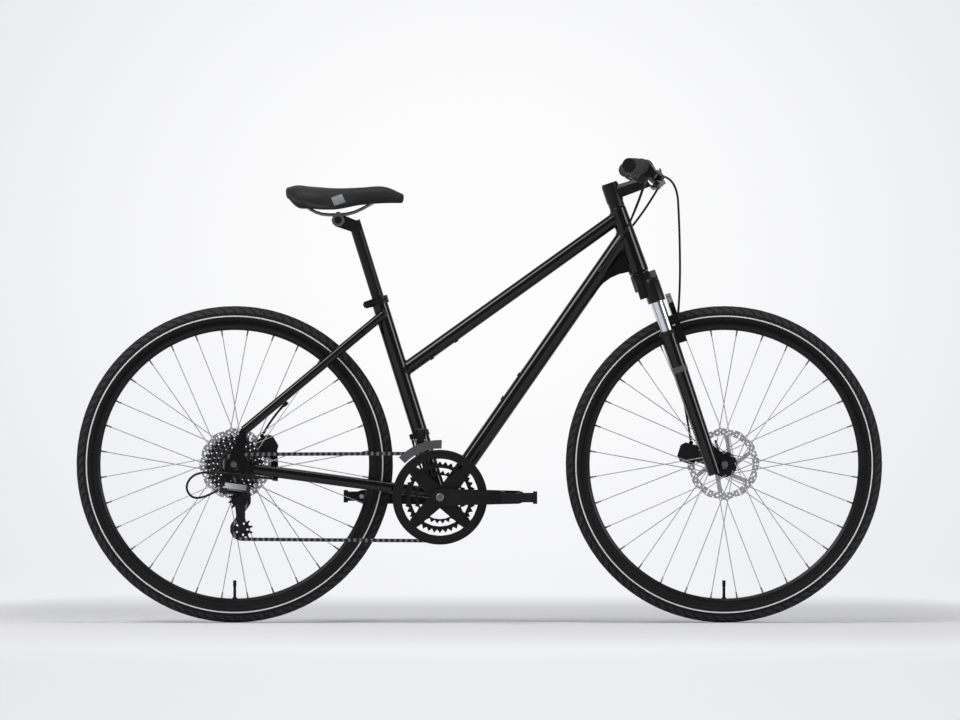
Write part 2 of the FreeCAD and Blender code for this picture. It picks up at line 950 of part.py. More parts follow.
def head_gusset():
    """The flared joint under the down tube, hollowed on its lower edge."""
    start = (-gusset_reach, -gusset_low)
    middle = (-gusset_reach * gusset_middle_share, gusset_lip * gusset_middle_share)
    end = (-head_low_radius, gusset_lip)
    outline = []
    for step in range(gusset_steps + 1):
        share = step / gusset_steps
        first = (1 - share) * (1 - 2 * share)
        second = 4 * share * (1 - share)
        third = share * (2 * share - 1)
        ahead, up = (first * a + second * b + third * c for a, b, c in zip(start, middle, end))
        outline.append(head_point(up, ahead, -gusset_width / 2))
    outline.append(head_point(gusset_lip, 0, -gusset_width / 2))
    outline.append(head_point(down_tube_rise, 0, -gusset_width / 2))
    return prism(outline, ACROSS * gusset_width)


def front_triangle():
    """Head, top, down and seat tubes with the bottom bracket shell, hollow, with bottle bosses."""
    ends = tube_ends()
    seat = rod(*ends["seat"], seat_tube_radius)
    head = cone(head_low, head_point(head_tube_length), head_low_radius, head_top_radius)
    shell = rod(*ends["shell"], bracket_shell_radius)
    top = rod(*ends["top"], top_tube_radius)
    down = rod(*ends["down"], down_tube_radius)
    top_hollow = rod(*ends["top"], top_tube_radius - tube_wall).cut(seat).cut(head)
    down_hollow = rod(*ends["down"], down_tube_radius - tube_wall).cut(head).cut(shell).cut(seat)
    whole = fused([seat, head, shell, top, down, head_gusset()])
    whole = whole.cut([top_hollow, down_hollow])
    for spot, outward in bottle_bosses():
        whole = whole.fuse(rod(spot - outward * boss_depth, spot + outward * boss_height, boss_radius))
        reach = outward * (boss_depth + overrun)
        whole = whole.cut(pipe(spot - reach, spot + reach, boss_hole_radius))
    seat_bore = pipe(bracket, seat_point(seat_tube_length + overrun), post_radius + running_fit)
    head_bore = bore(head_point(-overrun), head_point(head_tube_length + overrun), head_bore_radius)
    shell_bore = bore(*lengthened(ends["shell"], overrun), bracket_bore_radius)
    return whole.cut([seat_bore, head_bore, shell_bore])


def chain_stay_ends(side):
    """Front and rear ends of a chain stay's axis."""
    start = bracket + Vec(0, side * chain_stay_start, chain_stay_rise)
    end = rear_axle + Vec(chain_stay_end_ahead, side * chain_stay_end, -chain_stay_end_drop)
    return start, end


def seat_stay_ends(side):
    """Upper and lower ends of a seat stay's axis."""
    start = seat_point(seat_tube_length - seat_stay_down, 0, side * seat_stay_start)
    end = rear_axle + Vec(seat_stay_end_ahead, side * seat_stay_end, seat_stay_end_up)
    return start, end


def stay_section(start, end, inset):
    """A tall oval bar between two points, its skin moved in by an inset."""
    along = end - start
    level = along.cross(UP).normalize()
    upright = level.cross(along).normalize()
    radius = chain_stay_width / 2
    half = upright * (chain_stay_height / 2 - radius)
    return link_plate(start - half, start + half, radius - inset, radius - inset, along)


def along_line(ends, share):
    """A point at a share of the way from the first end to the second."""
    return ends[0] + (ends[1] - ends[0]) * share


def rack_boss(side):
    """Outer end of the rack boss on a seat stay."""
    out = ACROSS * (side * (seat_stay_radius + rack_boss_length))
    return along_line(seat_stay_ends(side), rack_boss_share) + out


def dropout(side):
    """Plate that holds the axle, joined to both stays, slotted from below."""
    inner = side * rear_hub_spacing / 2
    thickness = ACROSS * (side * dropout_thickness)
    base = rear_axle + ACROSS * inner
    stay = chain_stay_ends(side)[1]
    upper = seat_stay_ends(side)[1]
    stay_end = Vec(stay.x, inner, stay.z)
    upper_end = Vec(upper.x, inner, upper.z)
    pieces = [
        link_plate(base, stay_end, dropout_radius, chain_stay_width / 2, thickness),
        link_plate(base, upper_end, dropout_radius, seat_stay_radius * dropout_neck_share, thickness),
    ]
    if side < 0:
        hanger = base + Vec(-hanger_back, 0, -hanger_drop)
        pieces.append(link_plate(base, hanger, dropout_radius, hanger_radius, thickness))
    plate = fused(pieces)
    slot_way = Vec(math.sin(math.radians(dropout_slot_lean)), 0, -math.cos(math.radians(dropout_slot_lean)))
    slot_base = rear_axle + ACROSS * (inner - side * overrun)
    slot_end = slot_base + slot_way * (2 * dropout_radius)
    through = ACROSS * (side * (dropout_thickness + 2 * overrun))
    slot_half = axle_radius + side_play
    plate = plate.cut(link_plate(slot_base, slot_end, slot_half, slot_half, through))
    eyelet = on_circle(slot_base, eyelet_up, eyelet_angle)
    plate = plate.cut(pipe(eyelet, eyelet + through, boss_hole_radius))
    if side < 0:
        hole = slot_base + Vec(-hanger_back, 0, -hanger_drop)
        plate = plate.cut(bore(hole, hole + through, hanger_hole_radius))
    return plate


def caliper_frame(angle):
    """Outward and turning directions at the caliper, seen from the wheel's middle."""
    turn = math.radians(angle)
    return Vec(math.cos(turn), 0, math.sin(turn)), Vec(-math.sin(turn), 0, math.cos(turn))


def rear_caliper_tab():
    """Tab on the left chain stay that carries the rear caliper."""
    out, turn = caliper_frame(rear_caliper_angle)
    middle = rear_axle + out * (rotor_radius + caliper_reach) + turn * (-caliper_length / 2 - seat_fit)
    half = out * (caliper_height * caliper_tab_share)
    inner = ACROSS * (rear_rotor_side + caliper_slot)
    root = along_line(chain_stay_ends(1), caliper_tab_root_share)
    low = Vec(root.x, 0, root.z)
    corners = [middle - half, middle + half, low + half, low - half]
    return prism([corner + inner for corner in corners], ACROSS * (caliper_half_width - caliper_slot))


def seat_bridge_end(side):
    """End of the seat stays' bridge, which follows the tyre's radius from the stay's lower end."""
    high, low = seat_stay_ends(side)
    return low + (high - low).normalize() * (tyre_radius - seat_bridge_short)


def rear_triangle():
    """Chain stays, seat stays, their bridges and the two dropouts, mitred to the front triangle."""
    ends = tube_ends()
    keep_clear = [
        rod(*lengthened(ends["shell"], overrun), bracket_shell_radius + seat_fit),
        rod(*lengthened(ends["seat"], overrun), seat_tube_radius + seat_fit),
    ]
    pieces = []
    hollows = []
    for side in (-1, 1):
        low = chain_stay_ends(side)
        high = seat_stay_ends(side)
        along = (high[0] - high[1]).normalize()
        pieces.append(stay_section(*low, 0))
        hollows.append(stay_section(low[0], along_line(low, stay_hollow_share), stay_wall))
        pieces.append(rod(*high, seat_stay_radius))
        cap = high[0] + along * seat_stay_radius
        pieces.append(cone(high[0], cap, seat_stay_radius, seat_stay_radius * seat_stay_cap_share))
        hollows.append(rod(high[0], along_line(high, stay_hollow_share), seat_stay_radius - stay_wall))
        pieces.append(dropout(side))
    pieces.append(rod(seat_bridge_end(-1), seat_bridge_end(1), seat_bridge_radius))
    pieces.append(
        rod(
            along_line(chain_stay_ends(-1), chain_bridge_share),
            along_line(chain_stay_ends(1), chain_bridge_share),
            chain_bridge_radius,
        )
    )
    pieces.append(rear_caliper_tab())
    for place, way in (stay_stop(), seat_stay_stop()):
        pieces.append(rod(place - way * stop_length, place, stop_radius))
    whole = fused(pieces).cut(hollows)
    for side in (-1, 1):
        spot = rack_boss(side)
        inward = ACROSS * -side
        whole = whole.fuse(rod(spot, spot + inward * boss_thread, rack_boss_radius))
        bottom = spot + inward * (boss_thread + overrun)
        whole = whole.cut(pipe(spot - inward * overrun, bottom, boss_hole_radius))
    return whole.cut(keep_clear)


def headset():
    """Upper and lower bearing cups, pressed into the head tube, running on the steerer."""
    hole = steerer_radius + running_fit
    inside = head_bore_radius - seat_fit
    rings = []
    for base, sign, skirt in ((0, 1, head_low_radius), (head_tube_length, -1, head_top_radius)):
        profile = [
            (base + sign * headset_depth, hole, True),
            (base + sign * headset_depth, inside),
            (base - sign * seat_fit, inside),
            (base - sign * seat_fit, skirt),
            (base - sign * headset_cup_height, skirt - headset_skirt),
            (base - sign * headset_cup_height, hole, True),
        ]
        rings.append(revolved(profile, head_low, steer_up))
    return Part.makeCompound(rings)


def bottom_bracket():
    """Sleeve with a flanged cup at each end, holding the spindle's bearings."""
    half = bracket_shell_width / 2
    hole = spindle_radius + running_fit
    profile = [
        (-half - bracket_cup_flange, hole, True),
        (half + bracket_cup_flange, hole, True),
        (half + bracket_cup_flange, bracket_bore_radius + overrun),
        (half + seat_fit, bracket_bore_radius + overrun),
        (half + seat_fit, bracket_bore_radius - seat_fit),
        (-half - seat_fit, bracket_bore_radius - seat_fit),
        (-half - seat_fit, bracket_bore_radius + overrun),
        (-half - bracket_cup_flange, bracket_bore_radius + overrun),
    ]
    sleeve = revolved(profile, bracket, ACROSS)
    return sleeve.cut(bore(bracket, seat_point(seat_tube_radius * 2), post_radius))


def seat_lug():
    """Middle of the seat clamp's cross barrel."""
    return seat_point(seat_tube_length - seat_collar_height / 2, seat_tube_radius + seat_collar_lug)


def seat_clamp():
    """Collar round the top of the seat tube with a lug, a cross barrel and the quick release head."""
    low = seat_point(seat_tube_length - seat_collar_height)
    high = seat_point(seat_tube_length)
    collar = rod(low, high, seat_tube_radius + seat_collar_wall)
    lug = seat_lug()
    half = ACROSS * seat_barrel_half
    barrel = rod(lug - half, lug + half, seat_barrel_radius)
    web_side = ACROSS * (seat_barrel_radius)
    web_up = seat_up * (seat_collar_height / 2 - side_play)
    inner = seat_point(seat_tube_length - seat_collar_height / 2) - web_side
    outer = lug - web_side
    web = prism([inner - web_up, outer - web_up, outer + web_up, inner + web_up], web_side * 2)
    head = skewer_head(lug - half, ACROSS * -1, seat_front)
    whole = fused([collar, barrel, web, head])
    stretch = (low - seat_up * overrun, high + seat_up * overrun)
    return whole.cut(bore(*stretch, seat_tube_radius + seat_fit))


def fork_crown():
    """Crown with two leg sockets and the hollow steerer."""
    outline = [
        (-leg_spread, -crown_leg_depth * crown_side_share),
        (-crown_arch_half, -crown_centre_depth),
        (crown_arch_half, -crown_centre_depth),
        (leg_spread, -crown_leg_depth * crown_side_share),
        (leg_spread, -crown_shoulder),
        (head_low_radius, -crown_top),
        (-head_low_radius, -crown_top),
        (-leg_spread, -crown_shoulder),
    ]
    beam = prism(
        [head_point(up, -crown_back, side) for side, up in outline],
        steer_front * (crown_front + crown_back),
    )
    pieces = [beam, rod(head_point(-crown_centre_depth), head_point(-crown_top), head_low_radius)]
    holes = []
    for side in (-leg_spread, leg_spread):
        low = head_point(-crown_leg_depth, leg_ahead, side)
        high = head_point(-crown_shoulder - crown_cap, leg_ahead, side)
        top = head_point(-crown_shoulder, leg_ahead, side)
        pieces.append(rod(low, high, crown_leg_radius))
        pieces.append(cone(high, top, crown_leg_radius, stanchion_radius))
        holes.append(bore(low - steer_up * overrun, head_point(-stanchion_top, leg_ahead, side),
                         stanchion_radius + seat_fit))
    pieces.append(pipe(head_point(-crown_centre_depth), head_point(steerer_top), steerer_radius))
    race_top = -headset_cup_height - side_play
    pieces.append(rod(head_point(-crown_top), head_point(race_top), head_low_radius - headset_skirt))
    holes.append(bore(head_point(0), head_point(steerer_top + overrun), steerer_radius - steerer_wall))
    return fused(pieces).cut(holes)


def fork_stanchions():
    """Two tubes fixed in the crown, closed at the top and open below."""
    legs = []
    for side in (-leg_spread, leg_spread):
        top = head_point(-stanchion_top - seat_fit, leg_ahead, side)
        low = head_point(-stanchion_low, leg_ahead, side)
        bore_top = top - steer_up * stanchion_cap
        legs.append(rod(low, top, stanchion_radius).cut(bore(low, bore_top, stanchion_radius - stanchion_wall)))
    return Part.makeCompound(legs)


def fork_spring():
    """Spring sleeve between the left stanchion's top and the rod's head."""
    high = head_point(-stanchion_top - stanchion_cap - 2 * seat_fit, leg_ahead, leg_spread)
    low = head_point(-spring_low + seat_fit, leg_ahead, leg_spread)
    return tube(low, high, spring_radius, spring_radius - spring_wall)


def fork_arch():
    """Brace over the tyre, in front of the crown, with a foot on each leg."""
    outer = leg_spread + lower_radius * arch_foot_share
    inner = leg_spread - lower_radius
    shoulder = inner * arch_shoulder_share
    half = [
        (outer, -lower_top - arch_foot),
        (outer, -lower_top),
        (shoulder + arch_height, -arch_up - arch_height),
        (shoulder, -arch_up),
    ]
    under = [
        (shoulder - arch_height * arch_under_share, -arch_up - arch_height),
        (inner, -lower_top),
        (inner, -lower_top - arch_foot),
    ]
    right = [(-side, up) for side, up in half]
    right_under = [(-side, up) for side, up in under]
    outline = half + list(reversed(right)) + list(reversed(right_under)) + under
    back = leg_ahead + arch_ahead - arch_thickness
    brace = prism([head_point(up, back, side) for side, up in outline], steer_front * arch_thickness)
    pieces = [brace]
    for side in (-1, 1):
        corners = [(inner, -lower_top - arch_foot), (outer, -lower_top - arch_foot)]
        corners += [(outer, -lower_top - arch_clear), (inner, -lower_top - arch_clear)]
        foot = [head_point(up, leg_ahead, side * place) for place, up in corners]
        pieces.append(prism(foot, steer_front * arch_ahead))
    return fused(pieces)


def fork_foot(side):
    """Slotted plate from the leg's lower end to the axle."""
    inner = side * front_hub_spacing / 2
    base = front_axle + ACROSS * inner
    ankle = head_point(-lower_bottom + lower_foot_radius, leg_ahead)
    ankle = Vec(ankle.x, inner, ankle.z)
    thickness = ACROSS * (side * fork_drop_thickness)
    plate = link_plate(base, ankle, fork_drop_radius, lower_foot_radius, thickness)
    web = head_point(-lower_bottom + fork_web_up, leg_ahead)
    foot = Vec(web.x, inner, web.z)
    plate = plate.fuse(link_plate(base, foot, fork_drop_radius, lower_foot_radius, thickness))
    start = front_axle + ACROSS * (inner - side * overrun)
    end = start - UP * (2 * fork_drop_radius)
    through = ACROSS * (side * (fork_drop_thickness + 2 * overrun))
    slot = link_plate(start, end, axle_radius + side_play, axle_radius + side_play, through)
    return plate, slot


def front_caliper_tab():
    """Post behind the left leg that carries the front caliper."""
    out, turn = caliper_frame(front_caliper_angle)
    middle = front_axle + out * (rotor_radius + caliper_reach - caliper_height / 2 - seat_fit)
    half = turn * (caliper_length * caliper_tab_share)
    root = middle - out * fork_post_height
    inner = ACROSS * (front_rotor_side + caliper_slot)
    corners = [middle - half, middle + half, root + half, root - half]
    return prism([corner + inner for corner in corners], ACROSS * (caliper_half_width - caliper_slot))


def fork_lowers():
    """Lower casting: two bored legs, the arch, the axle plates, the caliper post and the rods inside."""
    bore_low = stanchion_low + fork_travel + overrun
    pieces = [fork_arch(), front_caliper_tab()]
    cuts = []
    rods = []
    for sign in (-1, 1):
        side = sign * leg_spread
        top = head_point(-lower_top, leg_ahead, side)
        low = head_point(-lower_bottom, leg_ahead, side)
        seal_low = top - steer_up * lower_seal_height
        pieces.append(cone(low, top, lower_foot_radius, lower_radius))
        pieces.append(rod(seal_low, top, lower_seal_radius))
        plate, slot = fork_foot(sign)
        pieces.append(plate)
        bore_base = head_point(-bore_low, leg_ahead, side)
        cuts.append(bore(bore_base, top + steer_up * overrun, stanchion_radius + running_fit))
        cuts.append(slot)
        rod_low = bore_base - steer_up * overrun
        rod_top = head_point(-spring_low, leg_ahead, side)
        rods.append(rod(rod_low, rod_top, fork_rod_radius))
        rods.append(rod(rod_top - steer_up * fork_rod_head, rod_top, spring_radius))
    return fused([fused(pieces).cut(cuts)] + rods)


def octagon(centre, level, upright, width, height):
    """Corner points of a rectangle with cut corners."""
    places = []
    cut = min(width, height) * stem_corner_share
    for across, up in ((1, 1), (-1, 1), (-1, -1), (1, -1)):
        wide = (width / 2, height / 2 - cut)
        tall = (width / 2 - cut, height / 2)
        order = (wide, tall) if across * up > 0 else (tall, wide)
        for part_width, part_height in order:
            places.append(centre + level * (across * part_width) + upright * (up * part_height))
    return places


def stem_points():
    """Middle of the steerer clamp and of the bar clamp."""
    clamp = head_point(stem_low + stem_clamp_height / 2)
    rise = math.radians(stem_rise)
    way = Vec(math.cos(rise), 0, math.sin(rise))
    return clamp, clamp + way * stem_length, way


def stem():
    """Stem with its steerer clamp, bar clamp, split face plate, spacers and top cap."""
    clamp, bar, way = stem_points()
    upright = Vec(-way.z, 0, way.x)
    sections = [
        (clamp, stem_body_width, stem_body_height),
        (bar, stem_neck_width, stem_neck_height),
    ]
    wires = []
    for centre, width, height in sections:
        points = octagon(centre, ACROSS, upright, width, height)
        wires.append(Part.makePolygon(points + points[:1]))
    body = Part.makeLoft(wires, True, True)
    low = head_point(stem_low)
    high = head_point(stem_low + stem_clamp_height)
    half = ACROSS * (stem_bar_clamp_width / 2)
    whole = fused([body, rod(low, high, stem_clamp_radius), rod(bar - half, bar + half, stem_bar_clamp_radius)])
    whole = whole.cut(bore(low - steer_up * overrun, high + steer_up * overrun, steerer_radius + seat_fit))
    whole = whole.cut(bore(bar - half * 2, bar + half * 2, bar_clamp_radius + seat_fit))
    split = bar + way * stem_split_ahead - upright * (2 * stem_bar_clamp_radius) - half * 2
    tall = upright * (4 * stem_bar_clamp_radius)
    gap = prism([split, split + half * 4, split + half * 4 + tall, split + tall], way * stem_split)
    whole = whole.cut(gap)
    spacer_low = head_tube_length + headset_cup_height + side_play
    spacer = ring(head_low, steer_up, spacer_low, stem_low - seat_fit, steerer_radius + seat_fit, spacer_radius)
    cap = rod(high + steer_up * seat_fit, high + steer_up * stem_cap_height, spacer_radius)
    return [whole, spacer, cap]


def bent_wire(points):
    """Straight runs between points, joined by arcs tangent to both; the smallest radius comes too."""
    edges = []
    start = points[0]
    smallest = None
    for before, corner, after in zip(points, points[1:], points[2:]):
        way_in = (corner - before).normalize()
        way_out = (after - corner).normalize()
        half_turn = way_in.getAngle(way_out) / 2
        back = bend_share * min((corner - before).Length, (after - corner).Length)
        radius = back / math.tan(half_turn)
        enter = corner - way_in * back
        leave = corner + way_out * back
        inward = (way_out - way_in).normalize()
        centre = corner + inward * (radius / math.cos(half_turn))
        edges.append(Part.LineSegment(start, enter).toShape())
        edges.append(Part.Arc(enter, centre - inward * radius, leave).toShape())
        start = leave
        smallest = radius if smallest is None else min(smallest, radius)
    edges.append(Part.LineSegment(start, points[-1]).toShape())
    return Part.Wire(edges), smallest


def swept(path, points, radius, sides):
    """A bar of flat sides along a bent path that starts at the first point."""
    corners = bar_corners(points, radius, sides)
    solid = path.makePipeShell([Part.makePolygon(corners + corners[:1])], True, False)
    return solid if solid.Volume > 0 else solid.reversed()


def bar_corners(points, radius, sides):
    """Corners of a flat-sided bar's first end, square to its first run."""
    along = (points[1] - points[0]).normalize()
    first = along.cross(ACROSS if abs(along.dot(ACROSS)) < axis_share else UP).normalize()
    second = along.cross(first)
    corners = []
    for number in range(sides):
        turn = 2 * math.pi * number / sides
        corners.append(points[0] + (first * math.cos(turn) + second * math.sin(turn)) * radius)
    return corners


def bent_bar(points, radius, sides):
    """A flat-sided bar whose bends are short straight runs with mitred ends."""
    path = []
    for edge in bent_wire(points)[0].Edges:
        count = bend_steps if edge.Curve.TypeId == "Part::GeomCircle" else 1
        path += edge.discretize(Number=count + 1)[:-1]
    path.append(points[-1])
    ways = [(after - before).normalize() for before, after in zip(path, path[1:])]
    corners = bar_corners(points, radius, sides)
    rings = [corners]
    for spot, way, following in zip(path[1:], ways, ways[1:] + ways[-1:]):
        mitre = way + following
        corners = [corner + way * ((spot - corner).dot(mitre) / way.dot(mitre)) for corner in corners]
        rings.append(corners)
    return skinned(rings, False)


def bar_points():
    """Path of the handlebar's axis from the right end to the left."""
    bar = stem_points()[1]
    half = [(bar_flat_half, 0, 0), (bar_bend_half, bar_sweep * bar_bend_share, bar_rise),
            (bar_width / 2, bar_sweep, bar_rise)]
    left = [bar + Vec(-back, side, up) for side, back, up in half]
    right = [bar + Vec(-back, -side, up) for side, back, up in half]
    return list(reversed(right)) + left


def handlebar():
    """Riser bar with a thicker middle."""
    points = bar_points()
    shapes = [bent_bar(points, radius, bar_sides) for radius in (bar_radius, bar_radius - bar_wall)]
    bar = stem_points()[1]
    pieces = [shapes[0]]
    for side in (-1, 1):
        clamp_end = bar + ACROSS * (side * bar_clamp_length / 2)
        taper_end = bar + ACROSS * (side * bar_flat_half * bar_taper_share)
        pieces.append(rod(bar, clamp_end, bar_clamp_radius))
        pieces.append(cone(clamp_end, taper_end, bar_clamp_radius, bar_radius))
    return fused(pieces).cut(shapes[1])


def grip_ends():
    """Outer end of the right bar half and the direction that points out along it."""
    points = bar_points()
    return points[0], (points[0] - points[1]).normalize()


def grip():
    """Right grip: a sleeve with a collar and a closed outer end."""
    end, out = grip_ends()
    start = end - out * grip_length
    cap = end + out * grip_cap
    whole = fused([rod(start, cap, grip_radius), rod(start, start + out * grip_end_length, grip_end_radius)])
    return whole.cut(bore(start - out * overrun, end + out * seat_fit, bar_radius + seat_fit))


def post_top():
    """Upper end of the seatpost's tube."""
    return seat_point(seat_tube_length + post_visible)


def saddle_clamp():
    """Middle of the saddle clamp, behind and above the post."""
    return seat_point(seat_tube_length + post_visible + post_head_up, post_head_back)


def seatpost():
    """Tube with a rearward head and the cross barrel that the saddle clamp turns on."""
    top = post_top()
    low = seat_point(seat_tube_length + post_visible - post_length)
    clamp = saddle_clamp()
    half = ACROSS * (post_head_width / 2)
    neck_start = top - seat_up * post_radius - half
    neck = link_plate(neck_start, clamp - half, post_radius, post_clamp_radius, half * 2)
    reach = ACROSS * (post_clamp_width / 2)
    barrel = pipe(clamp - reach, clamp + reach, post_barrel_radius)
    whole = fused([pipe(low, top, post_radius), neck, barrel])
    return whole.cut(bore(low - seat_up * overrun, top - seat_up * (2 * post_radius), post_radius - post_wall))


def rail_points(side):
    """Path of one saddle rail from its rear end to its nose end, with both ends inside the shell."""
    clamp = saddle_clamp()
    places = [
        (-rail_rear, saddle_base_up + rail_sink, rail_rear_spread),
        (-rail_rear_bend, rail_up, rail_spread),
        (rail_front_bend, rail_up, rail_spread),
        (rail_front, saddle_nose_base_up + rail_sink, rail_nose_spread),
    ]
    return [clamp + Vec(ahead, side * spread, up) for ahead, up, spread in places]


def saddle_rails():
    """Two rails and the clamp blocks that grip them on the post's barrel."""
    clamp = saddle_clamp()
    pieces = []
    for side in (-1, 1):
        points = rail_points(side)
        rail = bent_bar(points, rail_radius, rail_sides)
        inner = side * (post_head_width / 2 + side_play)
        width = ACROSS * (side * (post_clamp_width / 2 - post_head_width / 2 - side_play))
        base = clamp + ACROSS * inner
        block = link_plate(base, base + UP * rail_up, post_clamp_radius, rail_radius * rail_block_share, width)
        block = block.cut(bore(clamp - ACROSS * post_clamp_width, clamp + ACROSS * post_clamp_width,
                              post_barrel_radius + running_fit))
        pieces.append(fused([block, rail]))
    return pieces


def saddle_section(ahead, half_width, edge_up, crown_up, base_half, base_up):
    """One upright slice of the saddle: flat base, drawn-in sides and an arched top."""
    centre = saddle_clamp() + FORWARD * ahead
    points = []
    for step in range(saddle_steps + 1):
        turn = math.pi * step / saddle_steps
        rise = (crown_up - edge_up) * math.sin(turn) ** saddle_fullness
        points.append(centre + Vec(0, -half_width * math.cos(turn), edge_up + rise))
    points += [centre + Vec(0, side * base_half, base_up) for side in (1, -1)]
    return points


def saddle():
    """Padded saddle lofted through upright slices, drilled for the ends of the rails."""
    slices = []
    for place, width, edge, crown, base_width, base in zip(
        saddle_places, saddle_widths, saddle_edges, saddle_crowns, saddle_base_widths, saddle_bases
    ):
        slices.append(saddle_section(place, width / 2, edge, crown, base_width / 2, base))
    whole = skinned(slices, True)
    for side in (-1, 1):
        points = rail_points(side)
        for end, before in ((points[0], points[1]), (points[-1], points[-2])):
            way = (end - before).normalize()
            start = before + (end - before) * bend_share
            whole = whole.cut(bore(start, end + way * seat_fit, rail_radius + seat_fit))
    return whole


def pitch_radius(teeth):
    """Radius of the circle that a sprocket's chain pins lie on."""
    return chain_pitch / (2 * math.sin(math.pi / teeth))


def working_outline(centre, teeth, phase):
    """Tooth outline of a sprocket that carries chain: a flat bottomed seat round every roller."""
    radius = pitch_radius(teeth)
    seat = chain_roller_radius + roller_clearance
    slope = math.tan(math.radians(tooth_flank))
    bottom = seat / slope
    tip = bottom + (seat + tooth_height) / slope
    points = []
    for tooth in range(teeth):
        turn = phase + 2 * math.pi * tooth / teeth
        out = Vec(math.cos(turn), 0, math.sin(turn))
        beside = Vec(-math.sin(turn), 0, math.cos(turn))
        for along, up in ((-tip, tooth_height), (-bottom, -seat), (bottom, -seat), (tip, tooth_height)):
            points.append(centre + out * (radius + up) + beside * along)
    return points


def idle_outline(centre, teeth):
    """Plain tooth outline of a sprocket that carries no chain."""
    radius = pitch_radius(teeth)
    points = []
    for tooth in range(teeth):
        step = FULL_TURN / teeth
        points.append(on_circle(centre, radius - idle_root_depth, step * tooth))
        points.append(on_circle(centre, radius + idle_tooth_height, step * (tooth + 1 / 2)))
    return points


def sprocket(outline, thickness, middle, inside):
    """A flat toothed plate with a round hole, centred on its own side distance."""
    half = ACROSS * (thickness / 2)
    plate = prism([point - half for point in outline], half * 2)
    return plate.cut(bore(middle - half * 2, middle + half * 2, inside))


def tangent(first, second):
    """Straight run of chain between two wheels, each given as (centre, radius, turning way)."""
    across = second[0] - first[0]
    distance = across.Length
    ahead = across * (1 / distance)
    beside = Vec(-ahead.z, 0, ahead.x)
    sine = (first[2] * first[1] - second[2] * second[1]) / distance
    run = ahead * math.sqrt(1 - sine * sine) + beside * sine
    normal = Vec(-run.z, 0, run.x)
    return first[0] - normal * (first[2] * first[1]), second[0] - normal * (second[2] * second[1])


def chain_path(wheels):
    """Runs and arcs of the chain loop, each as (length, place on it, side at its start, side at its end)."""
    count = len(wheels)
    runs = [tangent(wheels[number], wheels[(number + 1) % count]) for number in range(count)]
    path = []
    for number in range(count):
        start, end = runs[number]
        follower = wheels[(number + 1) % count]
        side = wheels[number][3]
        path.append(((end - start).Length, (start, end, None, 0, 0), side, follower[3]))
        leave = runs[(number + 1) % count][0]
        centre, radius, way = follower[:3]
        first = math.atan2(end.z - centre.z, end.x - centre.x)
        last = math.atan2(leave.z - centre.z, leave.x - centre.x)
        turn = (way * (last - first)) % (2 * math.pi)
        path.append((turn * radius, (centre, None, radius, first, way), follower[3], follower[3]))
    return path


def place_on(path, distance):
    """The point of the chain loop at a distance from its start, with the side it runs on."""
    for length, (start, end, radius, first, way), side, next_side in path:
        if distance <= length:
            share = distance / length
            level = ACROSS * (-side + (side - next_side) * share)
            if radius is None:
                return start + (end - start) * share + level
            turn = first + way * distance / radius
            return start + Vec(math.cos(turn), 0, math.sin(turn)) * radius + level
        distance -= length
    return place_on(path, distance)


def chain_links():
    """Even number of links nearest to the loop's length with the cage midway in its range."""
    middle = sum(cage_angle_range) / 2
    length = sum(piece[0] for piece in chain_path(drive_wheels(middle)))
    return 2 * round(length / (2 * chain_pitch))


def pin_places(path, links):
    """Distances along the loop of every chain pin, each one pitch from the last, and of the one after."""
    places = [0.0]
    for number in range(links):
        low = places[-1] + chain_pitch * (1 - pitch_search)
        high = places[-1] + chain_pitch * (1 + pitch_search)
        here = place_on(path, places[-1])
        for step in range(search_steps):
            middle = (low + high) / 2
            if (place_on(path, middle) - here).Length < chain_pitch:
                low = middle
            else:
                high = middle
        places.append((low + high) / 2)
    return places


def drive_wheels(cage_angle):
    """The four wheels the chain runs round, as (centre, radius, turning way, side)."""
    guide = rear_axle + Vec(guide_ahead, 0, -guide_drop)
    tension = on_circle(guide, pulley_distance, cage_angle)
    pulley = pitch_radius(pulley_teeth)
    return [
        (bracket, pitch_radius(ring_teeth[0]), 1, ring_sides[0]),
        (rear_axle, pitch_radius(cog_teeth[0]), 1, first_cog_side),
        (guide, pulley, -1, first_cog_side),
        (tension, pulley, 1, first_cog_side),
    ]


def chain_layout():
    """Cage angle that lets the chain close, the wheels at it and the chain's pins."""
    links = chain_links()
    low, high = cage_angle_range
    for step in range(search_steps):
        angle = (low + high) / 2
        path = chain_path(drive_wheels(angle))
        spare = sum(piece[0] for piece in path) - pin_places(path, links)[-1]
        if spare > 0:
            low = angle
        else:
            high = angle
    places = pin_places(path, links)[:-1]
    return angle, drive_wheels(angle), [place_on(path, place) for place in places]


def phase_on(wheel, pins):
    """Angle of the chain pin that sits best on a wheel's pitch circle."""
    centre, radius = wheel[:2]
    best = min(pins, key=lambda pin: abs(math.hypot(pin.x - centre.x, pin.z - centre.z) - radius))
    return math.atan2(best.z - centre.z, best.x - centre.x)


def chain_plate(first, second, low, high):
    """A six-sided link plate between two pins, its sides given from the chain's middle."""
    along = (second - first).normalize()
    upright = along.cross(ACROSS).normalize() * chain_plate_half_height
    reach = along * chain_plate_reach
    outline = [first - reach, first + upright, second + upright]
    outline += [second + reach, second - upright, first - upright]
    return prism([point + ACROSS * low for point in outline], ACROSS * (high - low))


def roller(pin):
    """A six-sided roller on a chain pin."""
    low = pin - ACROSS * chain_roller_half
    corners = [
        on_circle(low, chain_roller_radius, FULL_TURN * corner / roller_sides) for corner in range(roller_sides)
    ]
    return prism(corners, ACROSS * (2 * chain_roller_half))


